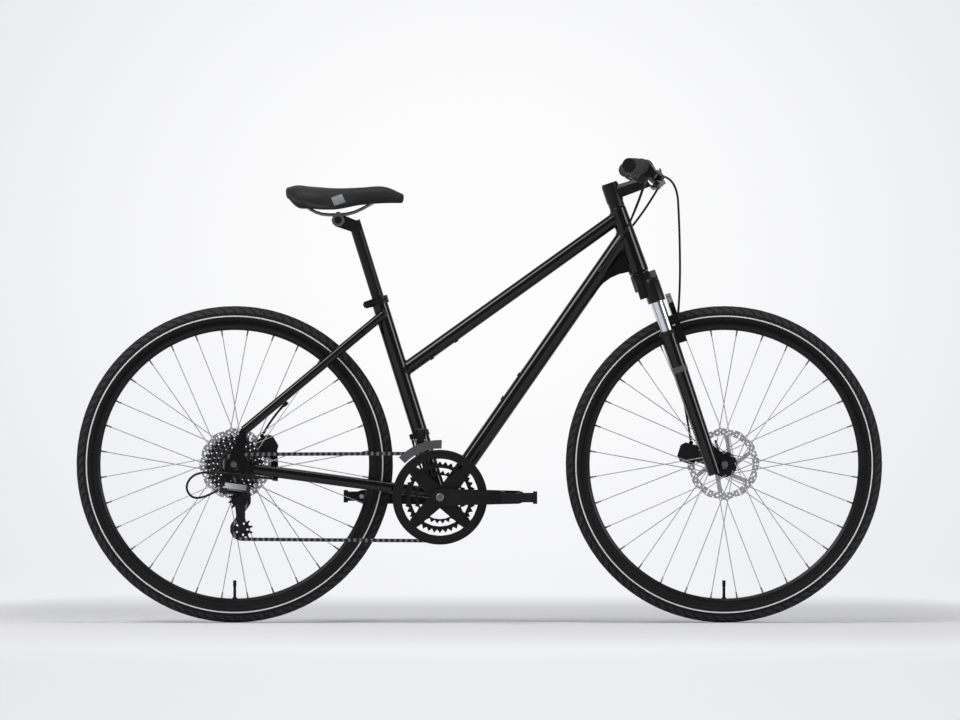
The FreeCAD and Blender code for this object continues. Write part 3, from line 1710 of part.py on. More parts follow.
def chain(pins):
    """Every link of the chain: inner plates with rollers, then outer plates, in turn."""
    solids = []
    inner = (chain_inner_half, chain_inner_half + chain_plate_thickness)
    outer_low = inner[1] + chain_plate_gap
    outer = (outer_low, outer_low + chain_plate_thickness)
    for number, first in enumerate(pins):
        second = pins[(number + 1) % len(pins)]
        low, high = inner if number % 2 == 0 else outer
        solids.append(chain_plate(first, second, low, high))
        solids.append(chain_plate(first, second, -high, -low))
        if number % 2 == 0:
            solids.append(roller(first))
            solids.append(roller(second))
    return Part.makeCompound(solids)


def cassette(phase):
    """Eight cogs on the freehub's barrel with a lock ring, running on the rear axle."""
    low = -first_cog_side - sprocket_thickness / 2
    high = -rear_hub_right_end - side_play
    pieces = [ring(rear_axle, ACROSS, low - lockring_thickness, high, axle_radius, freehub_radius)]
    for number, teeth in enumerate(cog_teeth):
        centre = rear_axle - ACROSS * (first_cog_side - cog_spacing * number)
        outline = idle_outline(centre, teeth) if number else working_outline(centre, teeth, phase)
        pieces.append(sprocket(outline, sprocket_thickness, centre, freehub_radius - overrun))
    ends = [rear_axle + ACROSS * (low - lockring_thickness), rear_axle + ACROSS * high]
    return fused(pieces).cut(pipe(*ends, locknut_radius + running_fit))


def spider_angles():
    """Angles of the spider's arms, between the crank arm's line and its cross line."""
    step = FULL_TURN / spider_arms
    return [step / 2 + step * number for number in range(spider_arms)]


def chainrings(phase):
    """Three toothed rings; the smallest stands on posts from the spider."""
    pieces = []
    for number, teeth in enumerate(ring_teeth):
        centre = bracket - ACROSS * ring_sides[number]
        outline = idle_outline(centre, teeth) if number else working_outline(centre, teeth, phase)
        pieces.append(sprocket(outline, sprocket_thickness, centre, ring_bores[number]))
    post_high = -ring_sides[2]
    posts = []
    for angle in spider_angles():
        spot = on_circle(bracket, ring_post_circle, angle)
        post_low = seat_fit - spider_inner
        posts.append(rod(spot + ACROSS * post_low, spot + ACROSS * post_high, ring_post_radius))
    pieces[2] = fused([pieces[2]] + posts)
    return pieces


def crank_arm(side_low, side_high, way):
    """Arm from the bottom bracket to the pedal, with a groove along its outer face."""
    start = bracket + ACROSS * side_low
    end = start + FORWARD * (way * crank_length)
    thickness = ACROSS * (side_high - side_low)
    arm = link_plate(start, end, crank_boss_radius, crank_end_radius, thickness)
    face = bracket + ACROSS * side_high
    first = face + FORWARD * (way * crank_length * crank_groove_start_share)
    last = face + FORWARD * (way * crank_length * crank_groove_end_share)
    depth = ACROSS * math.copysign(crank_groove_depth, side_low - side_high)
    return arm.cut(link_plate(first, last, crank_groove_width / 2, crank_groove_width / 2, depth))


def crank_holes(way, side_low, side_high):
    """Bores for the spindle's end and the pedal axle."""
    sides = (side_low - overrun, side_high + overrun)
    boss = [bracket + ACROSS * side for side in sides]
    eye = [bracket + FORWARD * (way * crank_length) + ACROSS * side for side in sides]
    return [bore(*boss, spindle_end_radius + seat_fit), bore(*eye, pedal_axle_radius + seat_fit)]


def crank_right():
    """Right arm with the boss and the four armed spider that carries the rings."""
    far = -crank_side - crank_thickness
    pieces = [
        crank_arm(-crank_side, far, 1),
        rod(bracket - ACROSS * spindle_shoulder, bracket - ACROSS * crank_side, crank_boss_radius),
    ]
    for angle in spider_angles():
        start = bracket - ACROSS * spider_outer
        end = on_circle(start, spider_reach - spider_arm_width / 2, angle)
        thickness = ACROSS * (spider_outer - spider_inner)
        pieces.append(link_plate(start, end, crank_boss_radius, spider_arm_width / 2, thickness))
    return fused(pieces).cut(crank_holes(1, far, -spindle_shoulder))


def crank_left():
    """Left arm, opposite the right one."""
    far = crank_left_side + crank_thickness
    boss = rod(bracket + ACROSS * spindle_shoulder, bracket + ACROSS * crank_left_side, crank_boss_radius)
    whole = fused([crank_arm(crank_left_side, far, -1), boss])
    return whole.cut(crank_holes(-1, spindle_shoulder, far))


def crank_axles():
    """Bottom bracket spindle and the two pedal axles."""
    right = -crank_side - crank_thickness
    left = crank_left_side + crank_thickness
    shoulder = spindle_shoulder - seat_fit
    spindle = fused([
        pipe(bracket - ACROSS * shoulder, bracket + ACROSS * shoulder, spindle_radius),
        pipe(bracket + ACROSS * (right + overrun), bracket + ACROSS * (left - overrun), spindle_end_radius),
    ])
    pieces = [spindle]
    for way, inner, outer in ((1, right + crank_thickness, right), (-1, left - crank_thickness, left)):
        centre = bracket + FORWARD * (way * crank_length)
        sign = math.copysign(1, outer)
        tip = outer + sign * (pedal_gap + pedal_width - pedal_bar)
        collar = outer + sign * seat_fit
        collar_radius = pedal_barrel_radius * pedal_collar_share
        collar_end = outer + sign * (pedal_gap - side_play)
        pieces.append(fused([
            pipe(centre + ACROSS * inner, centre + ACROSS * tip, pedal_axle_radius),
            rod(centre + ACROSS * collar, centre + ACROSS * collar_end, collar_radius),
        ]))
    return pieces


def chain_guard():
    """Ring outside the largest chainring with a lip, four tabs and posts to the spider."""
    low = -guard_side - guard_thickness
    pieces = [
        ring(bracket, ACROSS, low, -guard_side, guard_bore, guard_radius),
        ring(bracket, ACROSS, low - guard_lip_width, low, guard_radius - guard_lip, guard_radius),
    ]
    for angle in spider_angles():
        start = on_circle(bracket, guard_bore + guard_post_radius, angle, low)
        end = on_circle(bracket, guard_tab_reach + guard_tab_width / 2, angle, low)
        half = guard_tab_width / 2
        pieces.append(link_plate(start, end, half, half, ACROSS * guard_thickness))
        post = on_circle(bracket, guard_tab_reach + guard_post_radius * 2, angle, low)
        pieces.append(rod(post, post + ACROSS * (-spider_outer - seat_fit - low), guard_post_radius))
    return fused(pieces)


def pedal(way, outer):
    """Cage pedal: barrel on the axle, two end plates and two long bars with grip bumps."""
    sign = math.copysign(1, outer)
    centre = bracket + FORWARD * (way * crank_length)
    near = outer + sign * pedal_gap
    far = near + sign * pedal_width
    half = pedal_length / 2
    tall = pedal_height / 2
    pieces = [rod(centre + ACROSS * near, centre + ACROSS * far, pedal_barrel_radius)]
    end_outline = [(-half, -tall * pedal_end_share), (half, -tall * pedal_end_share)]
    end_outline += [(half, tall * pedal_end_share), (-half, tall * pedal_end_share)]
    for start in (near, far - sign * pedal_bar):
        plate = [centre + Vec(x, start, z) for x, z in end_outline]
        pieces.append(prism(plate, ACROSS * (sign * pedal_bar)))
    for place in (-half, half - pedal_bar):
        bar = [centre + Vec(place + x, near, z) for x, z in (
            (0, -tall), (pedal_bar, -tall), (pedal_bar, tall), (0, tall))]
        pieces.append(prism(bar, ACROSS * (sign * pedal_width)))
    whole = fused(pieces)
    axle_end = far - sign * pedal_bar
    mouth = centre + ACROSS * (near - sign * overrun)
    bottom = centre + ACROSS * (axle_end + sign * side_play)
    return whole.cut(bore(mouth, bottom, pedal_axle_radius + running_fit))


def shift_axes():
    """Forward, swinging and pivot directions of the rear derailleur's linkage."""
    slant = math.radians(shift_slant)
    pitch = math.radians(shift_pitch)
    forward = Vec(math.cos(pitch), 0, -math.sin(pitch))
    inward = Vec(-math.sin(slant) * math.sin(pitch), math.cos(slant), -math.sin(slant) * math.cos(pitch))
    pivot = Vec(math.cos(slant) * math.sin(pitch), math.sin(slant), math.cos(slant) * math.cos(pitch))
    return forward, inward, pivot


def shift_pivots():
    """Pivots of the outer and inner link on the fixed knuckle, then on the moving one."""
    forward, inward, pivot = shift_axes()
    middle = rear_axle - Vec(shift_pivot_back, shift_side, shift_pivot_drop)
    half = inward * (shift_link_spacing / 2)
    start = math.radians(shift_link_start)
    reach = (forward * math.cos(start) + inward * math.sin(start)) * shift_link_length
    return middle - half, middle + half, middle - half + reach, middle + half + reach


def shift_link(start, end):
    """A link of the rear derailleur, bored for a pin at each end."""
    pivot = shift_axes()[2]
    low = pivot * -shift_link_half
    bar = link_plate(start + low, end + low, shift_eye_radius, shift_eye_radius, pivot * (2 * shift_link_half))
    for spot in (start, end):
        bar = bar.cut(bore(spot + low * 2, spot - low * 2, shift_pin_radius + running_fit))
    return bar


def shift_ears(outer, inner, way, extra):
    """Two ears with the links' pins between them, joined by a web on one side."""
    inward, pivot = shift_axes()[1:]
    near = pivot * (shift_link_half + side_play)
    lug = pivot * shift_lug
    pieces = []
    for sign in (-1, 1):
        first = outer + near * sign
        second = inner + near * sign
        pieces.append(link_plate(first, second, shift_eye_radius, shift_eye_radius, lug * sign))
        corners = [first, second, second + way * shift_web_far, first + way * shift_web_far]
        pieces.append(prism(corners, lug * sign))
    total = near + lug
    for spot in (outer, inner):
        pieces.append(pipe(spot - total, spot + total, shift_pin_radius))
    ends = (outer + way * shift_web_near, inner + way * shift_web_near + inward * extra)
    thick = way * (shift_web_far - shift_web_near)
    web = [spot - total for spot in (ends[0], ends[1], ends[1] + thick, ends[0] + thick)]
    pieces.append(prism(web, total * 2))
    return pieces


def hanger_point():
    """Middle of the derailleur hanger's hole, on the bike's middle plane."""
    return rear_axle - Vec(hanger_back, 0, hanger_drop)


def rd_knuckle():
    """Fixed knuckle bolted to the hanger, with ears for both links."""
    forward = shift_axes()[0]
    outer, inner = shift_pivots()[:2]
    face = rear_hub_spacing / 2 + dropout_thickness + seat_fit
    spot = hanger_point()
    boss = rod(spot - ACROSS * face, spot - ACROSS * (face + knuckle_flange), hanger_radius)
    near = rear_hub_spacing / 2
    bolt_radius = hanger_hole_radius - seat_fit
    bolt = rod(spot - ACROSS * near, spot - ACROSS * (face + overrun), bolt_radius)
    room = bore(spot - ACROSS * (near - overrun), spot - ACROSS * face, hanger_radius + side_play)
    ears = fused(shift_ears(outer, inner, forward * -1, 0)).cut(room)
    return fused([ears, boss, bolt])


def rd_p_knuckle(guide):
    """Moving knuckle with ears for both links and the boss and pin that the cage turns on."""
    forward, inward = shift_axes()[:2]
    outer, inner = shift_pivots()[2:]
    near = first_cog_side + cage_plate_gap / 2 + cage_plate_thickness + side_play
    far = near + knuckle_length
    boss = rod(guide - ACROSS * near, guide - ACROSS * far, knuckle_radius)
    pin = pipe(guide - ACROSS * (near - cage_plate_thickness), guide - ACROSS * far, cage_pin_radius)
    joint = inner + forward * ((shift_web_near + shift_web_far) / 2) + inward * shift_arm_extra
    start = Vec(joint.x, -far, joint.z)
    arm = link_plate(start, guide - ACROSS * far, shift_arm_radius, knuckle_radius, ACROSS * knuckle_length)
    return fused(shift_ears(outer, inner, forward, shift_web_extra) + [boss, pin, arm])


def rd_cage(guide, tension):
    """Two plates either side of the pulleys, with the pulleys' bolts and a strut between them."""
    half = cage_plate_gap / 2
    inner = ACROSS * (half - first_cog_side)
    outer = ACROSS * (-half - first_cog_side)
    plate = ACROSS * cage_plate_thickness
    low_plate = link_plate(guide + outer, tension + outer, cage_plate_radius, cage_boss_radius, plate * -1)
    hole = bore(guide + outer + plate, guide + outer - plate * 2, cage_pin_radius + running_fit)
    pieces = [low_plate.cut(hole)]
    pieces.append(link_plate(guide + inner, tension + inner, cage_plate_radius, cage_boss_radius, plate))
    bolt = pulley_bore_radius - running_fit
    pieces.append(pipe(tension + outer - plate, tension + inner + plate, bolt))
    pieces.append(pipe(guide + outer + ACROSS * side_play, guide + inner + plate, bolt))
    middle = guide + (tension - guide) * cage_strut_share
    behind = (tension - guide).normalize().cross(ACROSS) * cage_strut_back
    pieces.append(rod(middle + behind + outer, middle + behind + inner, cage_strut_radius))
    return fused(pieces)


def pulley(centre, phase):
    """A toothed pulley with a hub that keeps it between the plates."""
    middle = centre - ACROSS * first_cog_side
    half = ACROSS * (cage_plate_gap / 2 - side_play)
    plate = sprocket(working_outline(middle, pulley_teeth, phase), pulley_thickness, middle, pulley_bore_radius)
    hub_ring = tube(middle - half, middle + half, cage_waist, pulley_bore_radius)
    return fused([plate, hub_ring])


def mech_points():
    """Upper and lower pivot of the front derailleur's link and its middle along the bike."""
    band = seat_point(band_up)
    swing = math.radians(mech_swing)
    low = Vec(band.x, -ring_sides[0] + mech_side, band.z - mech_drop)
    high = low + Vec(0, math.sin(swing), math.cos(swing)) * mech_link_length
    return high, low


def fd_mount():
    """Band on the seat tube with two ears and the upper pin, and a lug for the housing."""
    high = mech_points()[0]
    low_up = band_up - band_height / 2
    band = rod(seat_point(low_up), seat_point(low_up + band_height), seat_tube_radius + band_wall)
    lug = rod(seat_point(low_up, stop_back), seat_point(low_up + band_height, stop_back), stop_radius)
    reach = FORWARD * (mech_link_width / 2)
    pieces = [band, lug, pipe(high - reach, high + reach, mech_pivot_radius)]
    middle = seat_point(band_up)
    for sign in (-1, 1):
        start = high + FORWARD * (sign * (mech_link_half + side_play))
        end = Vec(start.x, -seat_tube_radius, middle.z)
        thick = FORWARD * (sign * (mech_link_width / 2 - mech_link_half - side_play))
        pieces.append(link_plate(start, end, mech_eye_radius, band_height / 2, thick))
    ends = (seat_point(low_up - overrun), seat_point(low_up + band_height + overrun))
    return fused(pieces).cut(bore(*ends, seat_tube_radius + seat_fit))


def fd_link():
    """Hanging link of the front derailleur, bored for its two pins."""
    high, low = mech_points()
    shift = FORWARD * mech_link_half
    bar = link_plate(high - shift, low - shift, mech_eye_radius, mech_eye_radius, shift * 2)
    for spot in (high, low):
        bar = bar.cut(bore(spot - shift * 2, spot + shift * 2, mech_pivot_radius + running_fit))
    return bar


def cage_sector(inner, outer, last, side, thickness):
    """A plate bent round the chainring between two radii, up to a last angle, built of straight edges."""
    steps = mech_cage_steps
    angles = [mech_cage_start + (last - mech_cage_start) * step / steps for step in range(steps + 1)]
    outline = [on_circle(bracket, outer, angle, side) for angle in angles]
    outline += [on_circle(bracket, inner, angle, side) for angle in reversed(angles)]
    return prism(outline, ACROSS * thickness)


def fd_cage():
    """Two plates astride the chain with a bridge over them, ears and the lower pin."""
    low = mech_points()[1]
    inner = guard_radius + mech_cage_clear
    outer = inner + mech_cage_height
    near = -ring_sides[0] + mech_cage_gap
    far = -ring_sides[0] - mech_cage_gap
    pieces = [
        cage_sector(inner, outer, mech_cage_end, near, mech_cage_thickness),
        cage_sector(inner, outer, mech_cage_end, far, -mech_cage_thickness),
        cage_sector(outer - mech_cage_thickness, outer, mech_bridge_end, far, near - far),
    ]
    reach = FORWARD * (mech_link_width / 2)
    pieces.append(pipe(low - reach, low + reach, mech_pivot_radius))
    for sign in (-1, 1):
        start = low + FORWARD * (sign * (mech_link_half + side_play))
        end = Vec(start.x, near + mech_cage_thickness / 2, low.z - mech_ear_drop)
        thick = FORWARD * (sign * (mech_link_width / 2 - mech_link_half - side_play))
        pieces.append(link_plate(start, end, mech_eye_radius, mech_pivot_radius, thick))
    return fused(pieces)


def caliper_banjo(axle, angle, end):
    """Middle of the round fitting where the hose meets a caliper, at one end of its body."""
    out, turn = caliper_frame(angle)
    return axle + out * (rotor_radius + caliper_reach) + turn * (end * (caliper_length / 2 + banjo_radius / 2))


def caliper(axle, angle, side, end):
    """Brake caliper with a slot for the rotor, a pad on each side of it and a hose fitting."""
    out, turn = caliper_frame(angle)
    middle = axle + out * (rotor_radius + caliper_reach) + ACROSS * side
    half_out = caliper_height / 2
    half_turn = caliper_length / 2
    corner = caliper_height * caliper_corner_share
    outline = [
        (-half_out, -half_turn),
        (half_out - corner, -half_turn),
        (half_out, corner - half_turn),
        (half_out, half_turn - corner),
        (half_out - corner, half_turn),
        (-half_out, half_turn),
    ]
    half = ACROSS * caliper_half_width
    body = prism([middle + out * high + turn * along - half for high, along in outline], half * 2)
    slot_half = ACROSS * (caliper_slot / 2)
    low = middle - out * (half_out + overrun) - slot_half
    long = turn * (half_turn + overrun)
    tall = out * (half_out + overrun)
    slot = prism([low - long, low + long, low + long + tall, low - long + tall], slot_half * 2)
    banjo = caliper_banjo(axle, angle, end) + ACROSS * (side + banjo_out)
    fitting = rod(banjo - ACROSS * banjo_radius, banjo + ACROSS * banjo_radius, banjo_radius)
    pieces = [fused([body, fitting]).cut(slot)]
    near = rotor_thickness / 2 + pad_clear
    depth = caliper_slot / 2 - seat_fit - near
    pad_middle = axle + out * (rotor_radius - pad_height / 2 - rotor_wave) + ACROSS * side
    pad_long = turn * (pad_length / 2)
    pad_tall = out * (pad_height / 2)
    for sign in (-1, 1):
        base = pad_middle + ACROSS * (sign * near)
        corners = [base - pad_long - pad_tall, base + pad_long - pad_tall]
        corners += [base + pad_long + pad_tall, base - pad_long + pad_tall]
        pieces.append(prism(corners, ACROSS * (sign * depth)))
    return pieces


def control_axes():
    """Outward, reaching and upright directions of the controls on the right bar half."""
    end, out = grip_ends()
    ahead = UP.cross(out)
    pitch = math.radians(control_pitch)
    reach = ahead * math.cos(pitch) - UP * math.sin(pitch)
    upright = ahead * math.sin(pitch) + UP * math.cos(pitch)
    return out, reach, upright


def control_point(inboard, forward=0, high=0):
    """A point from the right end of the bar: distance inboard, along the levers' reach, and above it."""
    out, reach, upright = control_axes()
    return grip_ends()[0] - out * inboard + reach * forward + upright * high


def brake_body():
    """Right brake lever's clamp, cylinder and the two ears with the lever's pin."""
    out, reach, upright = control_axes()
    start = control_point(brake_clamp_from_end - brake_clamp_width / 2)
    end = control_point(brake_clamp_from_end + brake_clamp_width / 2)
    cylinder_end = control_point(brake_clamp_from_end + brake_body_length, brake_body_out)
    cylinder_start = control_point(brake_clamp_from_end - brake_clamp_width / 2, brake_body_out)
    pieces = [rod(start, end, brake_clamp_radius), rod(cylinder_start, cylinder_end, brake_body_radius)]
    pieces.append(link_plate(start, cylinder_start, brake_clamp_radius, brake_body_radius, end - start))
    pivot = control_point(brake_clamp_from_end, brake_pivot_out)
    total = upright * (brake_blade_height / 2 + side_play + brake_ear)
    pieces.append(pipe(pivot - total, pivot + total, brake_pivot_radius))
    root = control_point(brake_clamp_from_end, brake_body_out)
    for sign in (-1, 1):
        low = upright * (sign * (brake_blade_height / 2 + side_play))
        ear = upright * (sign * brake_ear)
        pieces.append(link_plate(pivot + low, root + low, brake_eye_radius, brake_eye_radius, ear))
    return fused(pieces).cut(bore(start + out * overrun, end - out * overrun, bar_radius + seat_fit))


def brake_lever():
    """Right brake lever: an eye on the pin and a blade bent once, with a round tip."""
    upright = control_axes()[2]
    low = upright * (-brake_blade_height / 2)
    thick = upright * brake_blade_height
    pivot = control_point(brake_clamp_from_end, brake_pivot_out) + low
    elbow = control_point(brake_clamp_from_end - brake_blade_reach * brake_elbow_share, brake_blade_out) + low
    tip = control_point(brake_clamp_from_end - brake_blade_reach, brake_blade_out) + low
    blade_half = brake_blade_thickness / 2
    pieces = [
        link_plate(pivot, elbow, brake_eye_radius, blade_half, thick),
        link_plate(elbow, tip, blade_half, blade_half, thick),
        rod(tip, tip + thick, brake_tip_radius),
    ]
    return fused(pieces).cut(bore(pivot + low, pivot + thick - low, brake_pivot_radius + running_fit))


def shift_pod():
    """Right shifter: clamp, round case under the bar and the lever's pin below it."""
    out, reach, upright = control_axes()
    half = out * (pod_clamp_width / 2)
    middle = control_point(pod_from_end)
    case_top = control_point(pod_from_end, pod_ahead, -pod_drop)
    case_low = control_point(pod_from_end, pod_ahead, -pod_drop - pod_height)
    pin_low = case_low - upright * (thumb_lever_thickness + side_play)
    neck = [middle - reach * pod_clamp_width - half, middle + reach * pod_clamp_width - half]
    deep = upright * -(pod_drop + pod_height / 2)
    neck += [neck[1] + deep, neck[0] + deep]
    pieces = [
        rod(middle - half, middle + half, brake_clamp_radius),
        rod(case_low, case_top, pod_width / 2),
        pipe(pin_low, case_top, thumb_pivot_radius),
        prism(neck, half * 2),
    ]
    return fused(pieces).cut(bore(middle - half * 2, middle + half * 2, bar_radius + seat_fit))


def thumb_lever():
    """Right shift lever: an eye on the pin under the case and a short blade to the thumb."""
    upright = control_axes()[2]
    top = -pod_drop - pod_height - side_play
    pivot = control_point(pod_from_end, pod_ahead, top)
    tip = control_point(pod_from_end - thumb_lever_length, pod_ahead + thumb_reach, top)
    down = upright * -thumb_lever_thickness
    blade = link_plate(pivot, tip, thumb_lever_width / 2, thumb_lever_width / 2, down)
    return blade.cut(bore(pivot - down, pivot + down * 2, thumb_pivot_radius + running_fit))


def cord(points):
    """A hose along straight runs and tangent arcs, with flat sides; prints its bends and its volume."""
    path, smallest = bent_wire(points)
    solid = swept(path, points, hose_radius, cord_sides)
    section = cord_sides / 2 * hose_radius ** 2 * math.sin(2 * math.pi / cord_sides)
    share = solid.Volume / (section * path.Length)
    print(f"cord length {path.Length:.1f} smallest radius {smallest:.1f} volume share {share:.3f}")
    return solid


def stop_place(side, lift):
    """Middle of a housing stop on the down tube and the tube's direction down to it."""
    start, end = tube_ends()["down"]
    way = (end - start).normalize()
    above = Vec(-way.z, 0, way.x)
    out = math.sqrt((down_tube_radius + stop_stand) ** 2 - lift ** 2)
    return start + way * stop_along + above * lift + ACROSS * (side * out), way


def housing_stops():
    """Small sleeves on the down tube and the seat tube that the housings end in."""
    sleeves = []
    for side, lift in stop_spots():
        place, way = stop_place(side, lift)
        sleeves.append(rod(place - way * stop_length, place, stop_radius))
    low = seat_point(seat_stop_up - stop_length, stop_back)
    sleeves.append(rod(low, seat_point(seat_stop_up, stop_back), stop_radius))
    return sleeves


def stop_spots():
    """Side and lift of each stop on the down tube: one right, two left."""
    return [(-1, 0), (1, stop_lift), (1, -stop_lift)]


def into_stop(number):
    """Last two points of a housing that runs into a stop on the down tube."""
    side, lift = stop_spots()[number]
    place, way = stop_place(side, lift)
    return [place + way * stop_lead + ACROSS * (side * stop_lead_out), place + way * cord_gap]


def left_side(point):
    """The mirror point on the bike's left."""
    return Vec(point.x, -point.y, point.z)


def steering_cables():
    """Right shift housing, rear brake hose and left shift housing, from the bar to the down tube."""
    out = control_axes()[0]
    pod = control_point(pod_from_end, pod_ahead, -pod_drop - pod_height / 2) - out * (pod_width / 2 + seat_fit)
    beside = pod - out * cable_lead
    by_head = head_point(head_tube_length * cable_head_share, head_top_radius, -cable_head_side)
    right = [pod, beside, by_head] + into_stop(0)
    hose = control_point(brake_clamp_from_end + brake_body_length + cord_gap * 2, brake_body_out)
    lead = hose - out * cable_lead + UP * -hose_fall
    bar = stem_points()[1]
    under = bar + Vec(0, 0, -hose_under)
    past = head_point(head_tube_length * cable_head_share, head_top_radius + hose_ahead, cable_head_side)
    rear_hose = [hose, lead, under, past] + into_stop(1)
    left_out = cable_head_side + cable_left_out
    left_by_head = head_point(head_tube_length * cable_head_share, head_top_radius, left_out)
    left = [left_side(pod), left_side(beside), left_by_head] + into_stop(2)
    return [cord(right), cord(rear_hose), cord(left)]


def front_brake_hose():
    """Hose from the left lever, bowed ahead of the head tube and down outside the left leg to the caliper."""
    out = control_axes()[0]
    start = left_side(control_point(brake_clamp_from_end + brake_body_length + cord_slant_gap, brake_body_out))
    banjo = caliper_banjo(front_axle, front_caliper_angle, -1) + ACROSS * (front_rotor_side + banjo_out)
    side = leg_spread + lower_radius + hose_leg_gap
    points = [start, start + left_side(out) * -hose_first + FORWARD * hose_first_ahead]
    for up, ahead, share in zip(front_hose_ups, front_hose_aheads, front_hose_shares):
        points.append(head_point(up, ahead, side * share))
    last = banjo + (points[-1] - banjo).normalize() * (banjo_radius + cord_slant_gap)
    return cord(points + [last])


def frame_cables():
    """Housings and hose held on the frame: front derailleur, rear derailleur and rear brake."""
    low = seat_point(seat_stop_up + cord_gap, stop_back)
    high = seat_point(band_up - band_height / 2 - cord_gap, stop_back)
    middle = seat_point((seat_stop_up + band_up) / 2, stop_back + seat_cable_bow)
    front = cord([low, middle, high])
    forward, inward, pivot = shift_axes()
    outer, inner = shift_pivots()[:2]
    entry = (outer + inner) * (1 / 2) - forward * (shift_web_far + cord_slant_gap) - pivot * rd_entry_low
    start, way = stay_stop()
    loop = [start + way * (cord_gap * 2), start + way * rd_lead + ACROSS * -rd_lead_out]
    for back, up in zip(rd_loop_backs, rd_loop_ups):
        loop.append(hanger_point() + Vec(-back, entry.y, up))
    rear = cord(loop + [entry])
    banjo = caliper_banjo(rear_axle, rear_caliper_angle, 1) + ACROSS * (rear_rotor_side + banjo_out)
    hose_start, hose_way = seat_stay_stop()
    bend = hose_start + hose_way * rear_hose_lead - UP * rear_hose_fall
    last = banjo + (bend - banjo).normalize() * (banjo_radius + cord_gap)
    hose = cord([hose_start + hose_way * cord_gap, bend, last])
    return [front, rear, hose]


def stay_stop():
    """End of the housing stop under the right chain stay and the way the housing leaves it."""
    ends = chain_stay_ends(-1)
    way = (ends[1] - ends[0]).normalize()
    below = UP * -(chain_stay_height / 2 + stop_stand)
    return along_line(ends, stay_stop_share) + below, way


def seat_stay_stop():
    """End of the hose stop under the left seat stay and the way the hose leaves it."""
    ends = seat_stay_ends(1)
    way = (ends[1] - ends[0]).normalize()
    below = way.cross(ACROSS).normalize() * (seat_stay_radius + stop_stand)
    below = below if below.z < 0 else below * -1
    return along_line(ends, seat_stay_stop_share) + below, way


def wheel_nodes(name, axle, flanges, ends, rotor_side):
    """Writes the five nodes of one wheel."""
    save(f"{name}_tyre", tyre(axle))
    save(f"{name}_rim", rim(axle))
    save(f"{name}_spokes", spokes(axle, *flanges))
    save(f"{name}_hub", hub(axle, *ends, *flanges, rotor_side))
    save(f"{name}_rotor", rotor(axle, rotor_side))


def axle_nodes():
    """Writes both axles with their nuts, heads and levers."""
    grips = (
        ("front", front_axle, front_hub_spacing, (front_hub_left_end, front_hub_right_end),
         fork_drop_thickness, steer_up),
        ("rear", rear_axle, rear_hub_spacing, (rear_hub_left_end, rear_hub_right_end),
         dropout_thickness, rear_lever_way),
    )
    for name, axle, spacing, ends, plate, way in grips:
        outside = spacing / 2 + plate
        bar = axle_with_cones(axle, spacing, *ends, plate + overrun, plate + skewer_nut_length)
        face = axle + ACROSS * (outside + seat_fit)
        head = skewer_head(face, ACROSS, way)
        save(f"{name}_axle", fused([bar, head]), skewer_nut(axle, outside + seat_fit))
        save(f"{name}_qr_lever", skewer_lever(face, ACROSS, way, skewer_lever_length))


def main():
    """Builds every node and writes it."""
    os.makedirs("parts", exist_ok=True)
    angle, wheels, pins = chain_layout()
    phases = [phase_on(wheel, pins) for wheel in wheels]
    guide, tension = wheels[2][0], wheels[3][0]
    print(f"cage angle {angle:.2f}")
    save("front_triangle", fused([front_triangle()] + housing_stops()))
    save("rear_triangle", rear_triangle())
    save("headset", headset())
    save("bottom_bracket", bottom_bracket())
    save("seat_clamp", seat_clamp())
    seat_face = seat_lug() - ACROSS * seat_barrel_half
    save("seat_qr_lever", skewer_lever(seat_face, ACROSS * -1, seat_front, seat_lever_length))
    axle_nodes()
    wheel_nodes("front", front_axle, (front_flange_left, front_flange_right),
                (front_hub_left_end, front_hub_right_end), front_rotor_side)
    wheel_nodes("rear", rear_axle, (rear_flange_left, rear_flange_right),
                (rear_hub_left_end, rear_hub_right_end), rear_rotor_side)
    save("fork_crown", fork_crown())
    save("fork_stanchions", fork_stanchions())
    save("fork_spring", fork_spring())
    save("fork_lowers", fork_lowers())
    save("stem", *stem())
    save("handlebar", handlebar())
    save("grips", grip(), mirrored(grip()))
    save("seatpost", seatpost())
    save("saddle_rails", *saddle_rails())
    save("saddle", saddle())
    save("chain", chain(pins))
    save("cassette", cassette(phases[1]))
    save("chainrings", *chainrings(phases[0]))
    save("crank_right", crank_right())
    save("crank_left", crank_left())
    save("crank_axles", *crank_axles())
    save("chain_guard", chain_guard())
    save("pedal_right", pedal(1, -crank_side - crank_thickness))
    save("pedal_left", pedal(-1, crank_left_side + crank_thickness))
    pivots = shift_pivots()
    save("rd_knuckle", rd_knuckle())
    save("rd_outer_link", shift_link(pivots[0], pivots[2]))
    save("rd_inner_link", shift_link(pivots[1], pivots[3]))
    save("rd_p_knuckle", rd_p_knuckle(guide))
    save("rd_cage", rd_cage(guide, tension))
    save("guide_pulley", pulley(guide, phases[2]))
    save("tension_pulley", pulley(tension, phases[3]))
    save("fd_mount", fd_mount())
    save("fd_link", fd_link())
    save("fd_cage", fd_cage())
    save("front_caliper", *caliper(front_axle, front_caliper_angle, front_rotor_side, -1))
    save("rear_caliper", *caliper(rear_axle, rear_caliper_angle, rear_rotor_side, 1))
    bodies = [brake_body(), shift_pod()]
    save("bar_controls", *bodies, *[mirrored(body) for body in bodies])
    save("brake_lever_right", brake_lever())
    save("brake_lever_left", mirrored(brake_lever()))
    save("shift_lever_right", thumb_lever())
    save("shift_lever_left", mirrored(thumb_lever()))
    save("steering_cables", *steering_cables())
    save("front_brake_hose", front_brake_hose())
    save("frame_cables", *frame_cables())


if __name__ == "__main__":
    main()
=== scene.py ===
"""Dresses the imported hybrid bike: smooth surfaces, finishes, floor, light and camera."""

from functools import partial
import math

